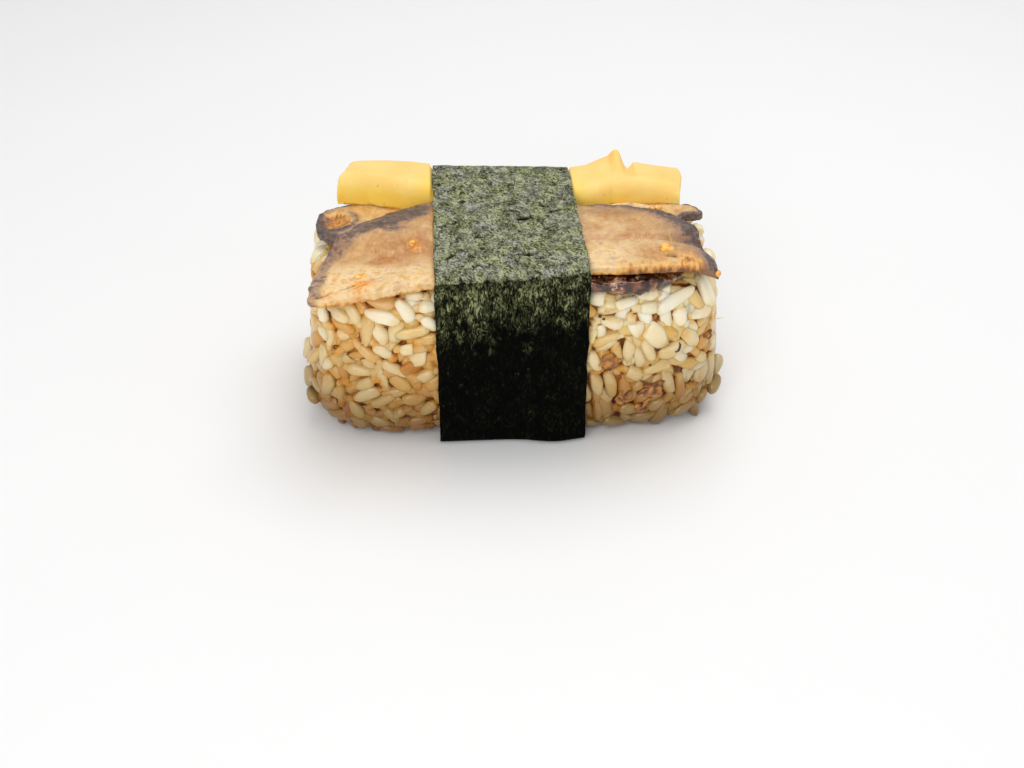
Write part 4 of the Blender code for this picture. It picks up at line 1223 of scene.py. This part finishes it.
def seen_grains(surface):
    """The grains that stand out on the front, laid on the core's surface."""
    grains = []
    marks = [(RIGHT_RICE, *mark) for mark in RIGHT_GRAINS] + [(LEFT_RICE, *mark) for mark in LEFT_GRAINS]
    for crop, first_x, first_y, last_x, last_y, width, white in marks:
        first, last = on_front(crop, first_x, first_y), on_front(crop, last_x, last_y)
        middle, run = (first + last) / 2, last - first
        place, out, _, _ = surface.ray_cast(Vector((middle.x, -60 * MM, middle.z)), Vector((0, 1, 0)))
        if place is None:
            place, out, _, _ = surface.find_nearest(Vector((middle.x, -24 * MM, middle.z)))
        long = square_to(out, run)
        height = (0.1 + 0.7 * white) * MM
        half_width = max(width / crop[2] * PIXEL, 2.6 * MM) * 0.56
        size = (half_width * 0.85, half_width, max(run.length + PAST_MARK, 4.6 * MM) / 2)
        grains.append({"centre": place + out * height, "out": out, "long": long, "height": height,
                       "lean": 0.35, "proud": False, "hold": MARKED_HOLD, "white": white,
                       "size": size})
    for crop, first_x, first_y, last_x, last_y in EDGE_GRAINS:
        first, last = seen_at(surface, crop, first_x, first_y), seen_at(surface, crop, last_x, last_y)
        place, out, _, _ = surface.find_nearest((first[0] + last[0]) / 2)
        height = min(max((first[2] + last[2]) / 2, 0.6 * MM), 1.9 * MM)
        run = last[0] - first[0]
        size = (1.5 * MM, 1.7 * MM, max(run.length + PAST_MARK, 5 * MM) / 2)
        grains.append({"centre": place + out * height, "out": out, "long": square_to(out, run),
                       "height": height, "lean": 0.5, "proud": True, "hold": MARKED_HOLD,
                       "white": 0.9, "size": size})
    return grains


def scatter_on(core, toppings, seen, draw):
    """Places on the core where rice shows, evenly by area, with the way out."""
    places = []
    taken = tree_of([bead for grain in seen for bead in beads_of([grain], 0.65 * grain["size"][2])])
    for polygon in core.polygons:
        share = polygon.area / GRAIN_AREA
        share *= 0.6 if polygon.normal.z < -0.7 else 1.0
        centre = polygon.center
        covered = cast_out(toppings, centre, polygon.normal, 3 * MM)
        clear = taken.find(centre)[2]
        if covered[0] is None and draw.random() < share and clear > GRAIN_CLEARANCE:
            places.append((centre.copy(), polygon.normal.copy(), clear))
    return places


def turned_across(out, draw):
    """A direction drawn at random along the surface."""
    return Matrix.Rotation(draw.uniform(0, math.pi), 3, out) @ out.orthogonal().normalized()


def relax(grains, surface, toppings):
    """Pushes grains apart until they lie side by side, close to the core and clear of the rest."""
    radius = GRAIN_HALF_WIDTH * GRAIN_OVERLAP
    reach = GRAIN_HALF_LENGTH - radius
    for _ in range(RELAX_STEPS):
        beads = beads_of(grains, reach)
        tree = tree_of(beads)
        pushes = [Vector() for bead in beads]
        for i, bead in enumerate(beads):
            for other, j, distance in tree.find_range(bead, 2 * radius):
                if j // 3 != i // 3 and distance > 1e-7:
                    share = PUSH_SHARE * grains[i // 3].get("hold", 1)
                    pushes[i] += (bead - other) / distance * (2 * radius - distance) * share
            found, normal, _, distance = toppings.find_nearest(bead, radius + 0.4 * MM)
            if found is not None:
                inside = -1 if (bead - found).dot(normal) < 0 else 1
                away = (bead - found).normalized() if distance > 1e-7 else normal
                pushes[i] += away * inside * (radius + 0.2 * MM - inside * distance) * 0.8
            pushes[i].z += max(radius + GROUND_GAP - bead.z, 0)
        for index, grain in enumerate(grains):
            first, middle, last = pushes[3 * index:3 * index + 3]
            move = (first + middle + last) / 3
            move.length = min(move.length, LONGEST_MOVE)
            grain["centre"] = grain["centre"] + move
            grain["long"] = (grain["long"] + (last - first) / (4 * reach)).normalized()
            height, normal = height_over(surface, grain["centre"])
            grain["centre"] -= normal * (height - grain["height"]) * 0.5
            lean = grain["long"].dot(normal)
            if abs(lean) > grain["lean"]:
                spare = lean - math.copysign(grain["lean"], lean)
                grain["long"] = (grain["long"] - normal * spare).normalized()
            grain["out"] = normal


def fill_gaps(grains, core, toppings, draw):
    """Adds grains of a lower layer where none lies within reach."""
    reach = GRAIN_HALF_LENGTH - GRAIN_HALF_WIDTH
    tree = tree_of(beads_of(grains, reach))
    extra, beads = [], []
    for polygon in draw.sample(list(core.polygons), len(core.polygons)):
        place, out = polygon.center.copy(), polygon.normal.copy()
        covered = cast_out(toppings, place, out, 4 * MM)[0] is not None
        if covered or place.z < 2.5 * MM or tree.find(place)[2] < 1.7 * MM:
            continue
        crowded = any((place - bead).length < 2.2 * MM for bead in beads)
        if crowded or toppings.find_nearest(place, 2.6 * MM)[0] is not None:
            continue
        grain = {"centre": place - out * 0.75 * MM, "out": out, "long": turned_across(out, draw),
                 "proud": False}
        beads += beads_of([grain], reach)
        extra.append(grain)
    grains.extend(extra)


def grain_template(segments=12, rings=10):
    """A plump grain along Z, unit half length and width, with a dent at its germ end."""
    bm = bmesh.new()
    bmesh.ops.create_uvsphere(bm, u_segments=segments, v_segments=rings, radius=1.0)
    points = []
    for vertex in bm.verts:
        t = math.sin(vertex.co.z * math.pi / 2) * 0.5 + vertex.co.z * 0.5
        angle = math.atan2(vertex.co.y, vertex.co.x)
        width = (1 - abs(t) ** 3.0) ** 0.44 if abs(t) < 0.9999 else 0.0
        width *= 1 - 0.30 * math.exp(-(((t - 0.74) / 0.20) ** 2) - (angle / 0.8) ** 2)
        c, s = math.cos(angle), math.sin(angle)
        square = (abs(c) ** 2.7 + abs(s) ** 2.7) ** (-1 / 2.7)
        points.append((width * c * square, width * s * square, t))
    faces = [[v.index for v in f.verts] for f in bm.faces]
    unrolled = [around(face) for face in bm.faces]
    bm.free()
    return np.array(points), faces, unrolled


def around(face):
    """Where a face of the unit ball lies on its unrolled surface, 0 to 1 and a little past."""
    turns = [None if abs(v.co.z) > 0.999 else math.atan2(v.co.y, v.co.x) / (2 * math.pi) % 1
             for v in face.verts]
    known = [t for t in turns if t is not None]
    if max(known) - min(known) > 0.5:
        turns = [t + 1 if t is not None and t < 0.5 else t for t in turns]
        known = [t for t in turns if t is not None]
    middle = sum(known) / len(known)
    return [(middle if t is None else t, math.acos(max(-1, min(1, v.co.z))) / math.pi)
            for t, v in zip(turns, face.verts)]


def add_bake_map(mesh, unrolled, count):
    """Gives each of the mesh's grains a cell of its own in one map."""
    columns = math.ceil(math.sqrt(count * 0.7))
    rows = math.ceil(count / columns)
    one = np.array([corner for face in unrolled for corner in face]) / (1.09, 1.0) * 0.86 + 0.07
    cells = np.array([(k % columns, k // columns) for k in range(count)], dtype=float)
    places = (cells[:, None, :] + one[None, :, :]) / (columns, rows)
    mesh.uv_layers.new(name="OFBake").data.foreach_set("uv", places.reshape(-1))


def one_grain(template, draw, size):
    """The template made uneven: bowed, tapered, dented by its neighbours, sometimes broken."""
    points = template.copy()
    t = points[:, 2].copy()
    width = 1 + draw.uniform(-0.16, 0.16) * t
    width *= 1 + draw.uniform(-0.09, 0.09) * np.sin(4 * t + draw.uniform(0, 6))
    points[:, :2] *= width[:, None]
    points[:, 0] += draw.uniform(-0.22, 0.14) * (1 - t ** 2)
    points[:, 1] += draw.uniform(-0.20, 0.20) * (1 - t ** 2)
    for _ in range(GRAIN_LUMPS):
        facing = np.array([draw.uniform(-1, 1) for axis in range(3)]) * 3.2
        wave = np.sin(points @ facing + draw.uniform(0, 6)) * draw.uniform(0.03, 0.07)
        points[:, :2] *= 1 + wave[:, None]
    for _ in range(GRAIN_DENTS):
        turn, lean = draw.uniform(0, 2 * math.pi), draw.uniform(-0.9, 0.9)
        facing = np.array([math.cos(turn) * math.cos(lean), math.sin(turn) * math.cos(lean),
                           math.sin(lean)])
        beyond = np.maximum(points @ facing - draw.uniform(0.58, 0.85), 0)
        points -= np.outer(0.62 * beyond, facing)
    if draw.random() < 0.18:
        limit = draw.uniform(0.1, 0.6) + draw.uniform(-0.3, 0.3) * points[:, 1]
        points[:, 2] = np.minimum(points[:, 2], limit + 0.12 * (points[:, 2] - limit))
    return points * np.array(size)


def placed_grain(grain, template, draw):
    """One uneven grain in its place, its outer side pressed flat by the mould."""
    out = square_to(grain["long"], grain["out"])
    flat = Matrix.Rotation(draw.gauss(0, 0.3), 3, grain["long"]) @ out
    wide = grain["long"].cross(flat)
    end = draw.choice((-1, 1))
    axes = np.array([-flat, wide * end, grain["long"] * end])
    size = grain.get("size") or (GRAIN_HALF_WIDTH * draw.uniform(0.78, 0.98),
                                 GRAIN_HALF_WIDTH * draw.uniform(0.86, 1.14),
                                 GRAIN_HALF_LENGTH * draw.uniform(0.78, 1.16))
    offsets = one_grain(template, draw, size) @ axes
    if not grain["proud"]:
        outward = np.array(grain["out"])
        beyond = np.maximum(offsets @ outward - (PRESSED_AT - grain["now"]), 0)
        offsets -= np.outer((0.45 if "white" in grain else 0.7) * beyond, outward)
    points = offsets + np.array(grain["centre"])
    points[:, 2] = np.maximum(points[:, 2], 0.15 * MM)
    inner = BAND_HALF_DEPTH - BAND_THICKNESS - 0.45 * MM
    under = np.abs(points[:, 0] - BAND_X) < BAND_HALF_WIDTH + 0.3 * MM
    points[:, 1] = np.where(under, np.clip(points[:, 1], -inner, inner), points[:, 1])
    return points


def rice_stain(place):
    """How far soy has soaked the rice at a place: patches on the front, and here and there."""
    x, y, z = place
    stain = max(0.0, cloud(x, y, z, 18 * MM, 2, 3.0) - 0.15) * 0.9
    if y < 0:
        stain += spots(x, z, RICE_STAINS)
        stain += 0.36 * rise(-10, -20, x) * rise(40, 8, z)
    return min(stain, 1.0)


def scattered_grains(core, toppings, seen, draw):
    """Grains laid at random where rice shows and no marked grain lies."""
    grains = []
    for centre, out, clear in scatter_on(core, toppings, seen, draw):
        side = turned_across(out, draw)
        proud = draw.random() < PROUD_SHARE
        height = (draw.uniform(-0.2, 0.6) if draw.random() < 0.7 else draw.uniform(-1.1, -0.3)) * MM
        height -= 0.5 * MM * rise(4, 2, clear)
        grains.append({"centre": centre + out * height, "out": out, "long": side, "height": height,
                       "lean": 0.7 if proud else 0.22, "proud": proud})
    return grains


def sorted_by_kind(grains, surface, draw):
    """The pale grains and those soaked in soy, each with how far soy stains it."""
    kinds = {name: [] for name in GRAIN_TONES}
    for grain in grains:
        grain["now"] = height_over(surface, grain["centre"])[0]
        stain = rice_stain(grain["centre"])
        soaked = draw.random() < SOAKED_SHARE + 0.6 * stain
        if "white" in grain:
            soaked, stain = grain["white"] < SOAKED_WHITENESS, stain * (1 - grain["white"])
        kinds["rice_soy" if soaked else "rice_pale"].append((grain, stain))
    return kinds


def grain_piece(name, members, shape, draw):
    """The grains of one kind, each with its tint, its clearer ends and its stain."""
    template, faces, unrolled = shape
    parts, tints, stains = [], [], []
    for grain, stain in members:
        parts.append((placed_grain(grain, template, draw).tolist(), faces))
        x, _, z = grain["centre"]
        paler = max(rise(10, 22, x), rise(32, 36, z))
        tint = min(1.0, draw.uniform(0.0, 0.7) + 0.5 * paler)
        if "white" in grain:
            tint = min(1.0, grain["white"] / SOAKED_WHITENESS) if name == "rice_soy" else grain["white"]
        tints.append(tint)
        stains.append(0.8 * stain * draw.uniform(0.5, 1.0))
    mesh = mesh_of(name, *joined(parts))
    add_mask(mesh, "tint", np.repeat(tints, len(template)))
    add_mask(mesh, "ends", np.tile(template[:, 2] ** 2, len(members)))
    add_mask(mesh, "stain", np.repeat(stains, len(template)))
    add_bake_map(mesh, unrolled, len(members))
    print(name, len(members), "grains")
    return new_piece(name, mesh, grain_look(name, GRAIN_TONES[name]), "cooked_rice", "rice")


def make_rice():
    draw = random.Random(SEED)
    toppings = topping_surfaces()
    core = mesh_from("core", core_mesh(SCATTER_CUTS))
    surface = BVHTree.FromPolygons([v.co for v in core.vertices], [p.vertices for p in core.polygons])
    grains = seen_grains(surface)
    grains += scattered_grains(core, toppings, grains, draw)
    relax(grains, surface, toppings)
    fill_gaps(grains, core, toppings, draw)
    starch = make_starch(toppings, grains)
    shape = grain_template()
    kinds = sorted_by_kind(grains, surface, draw)
    return [starch] + [grain_piece(name, members, shape, draw) for name, members in kinds.items()]


# Small bits

def lump(at, out, half, seed):
    """An uneven, flattened ball, half across in metres, partly sunk into what carries it."""
    bm = bmesh.new()
    bmesh.ops.create_icosphere(bm, subdivisions=3, radius=1.0)
    points = []
    for vertex in bm.verts:
        x, y, z = vertex.co
        offset = vertex.co * (1 + 0.4 * cloud(x, y, z, 1.1, 3, seed)) * half
        points.append(at + offset + out * 0.5 * (0.2 * half - offset.dot(out)))
    faces = [[v.index for v in face.verts] for face in bm.faces]
    bm.free()
    return points, faces


def thread(path, half, sides=8):
    """A tapering thread along a path of places, closed at both ends."""
    points, faces = [path[0]], []
    for k in range(1, len(path) - 1):
        along = (path[k + 1] - path[k - 1]).normalized()
        side = along.orthogonal().normalized()
        width = half * (1 - abs(2 * k / (len(path) - 1) - 1) ** 3) ** 0.5
        for step in range(sides):
            turn = Matrix.Rotation(2 * math.pi * step / sides, 3, along)
            points.append(path[k] + turn @ side * width)
    points.append(path[-1])
    rings, last = len(path) - 2, len(points) - 1
    for step in range(sides):
        after = (step + 1) % sides
        faces.append((0, 1 + after, 1 + step))
        faces.append((last, 1 + (rings - 1) * sides + step, 1 + (rings - 1) * sides + after))
        for k in range(rings - 1):
            a, b = 1 + k * sides, 1 + (k + 1) * sides
            faces.append((a + step, a + after, b + after, b + step))
    return points, faces


def lumps_at(shown, marks, draw):
    """An uneven lump at each mark, where it falls on what is shown."""
    made = []
    for crop, x, y, width in marks:
        place, out, _ = seen_at(shown, crop, x, y)
        made.append(lump(place, out, width / crop[2] * PIXEL / 2, draw.uniform(0, 9)))
    return made


def run_over(shown, crop, marks, lifted):
    """The places under a run of marks, lifted towards the camera."""
    return [seen_at(shown, crop, x, y)[0] - AHEAD * lifted for x, y in marks]


def smoothed(path):
    for _ in range(3):
        inner = [(a + b * 2 + c) / 4 for a, b, c in zip(path, path[1:], path[2:])]
        path = [path[0], *inner, path[-1]]
    return path


def flake_threads(shown, draw):
    """Short bent threads of meat that lie over each other on every flake."""
    made = []
    for crop, x, y, width in FLAKES:
        for _ in range(round(width / FLAKE_THREAD_SPACING)):
            turn, bend = draw.gauss(-0.4, 0.35), draw.uniform(-0.5, 0.5)
            at_x, at_y = x + draw.uniform(-0.35, 0.35) * width, y + draw.uniform(-0.25, 0.25) * width
            marks = []
            for s in (k / 8 - 0.5 for k in range(9)):
                marks.append((at_x + 0.75 * width * (s * math.cos(turn) - bend * s * s),
                              at_y + 0.75 * width * (s * math.sin(turn) + bend * s * s)))
            path = smoothed(run_over(shown, crop, marks, 0.3 * MM))
            made.append(thread(path, draw.uniform(0.35, 0.60) * MM))
    return made


def fibre_path(shown):
    """The pale fibre stands off the block's edge, all at the depth of its first place."""
    start = run_over(shown, RIGHT_RICE, PALE_FIBRE[:1], 0)[0]
    depth = (start - CAMERA_AT).dot(AHEAD)
    rays = [ray_to(RIGHT_RICE, x, y) for x, y in PALE_FIBRE]
    return [CAMERA_AT + ray * (depth / ray.dot(AHEAD)) for ray in rays]


def make_bits(carriers):
    """Crumbs, flakes of meat and flecks that lie on the slices and on the rice's front."""
    draw = random.Random(SEED)
    shown = surface_of(carriers, lambda piece, place: place.copy())
    fleck = run_over(shown, RIGHT_RICE, BURNT_FLECK, 0.15 * MM)
    bits = {"crumbs_orange": lumps_at(shown, ORANGE_CRUMBS, draw),
            "crumbs_dark": lumps_at(shown, DARK_CRUMBS, draw),
            "meat_flakes": lumps_at(shown, FLAKES, draw) + flake_threads(shown, draw),
            "burnt_fleck": [thread(fleck, 0.24 * MM)],
            "pale_fibre": [thread(fibre_path(shown), 0.20 * MM)]}
    for name, parts in bits.items():
        slot, *tones = BIT_LOOKS[name]
        new_piece(name, mesh_of(name, *joined(parts)), lump_look(name, *tones), slot)


# Setting

def make_setting():
    half = FLOOR_SIDE / 2
    floor = mesh_of("floor", [(-half, -half, 0), (half, -half, 0), (half, half, 0), (-half, half, 0)],
                    [(0, 1, 2, 3)])
    floor.materials.append(plain_look("floor_white", (0.90, 0.90, 0.90), 0.6))
    new_object("floor", floor)

    world = bpy.data.worlds.new("studio")
    world.use_nodes = True
    background = world.node_tree.nodes["Background"]
    background.inputs["Color"].default_value = (1.0, 1.0, 1.0, 1.0)
    background.inputs["Strength"].default_value = WORLD_STRENGTH
    bpy.context.scene.world = world

    for name, place, size, power in LIGHTS:
        light = bpy.data.lights.new(name, "AREA")
        light.size = size
        light.energy = power
        new_object(name, light, STACK_AT + LIT_AT + Vector(place), -Vector(place))


def make_camera():
    data = bpy.data.cameras.new("camera")
    data.lens = CAMERA_LENS
    data.sensor_width = SENSOR_WIDTH
    bpy.context.scene.camera = new_object("camera", data, STACK_AT + CAMERA_AT, AHEAD)


make_camera()
make_setting()
rice = make_rice()
pork = [make_front_slice(), make_back_slice(), make_strip()]
make_slab()
make_band()
make_bits(rice + pork)

bpy.context.scene.view_settings.view_transform = "Standard"
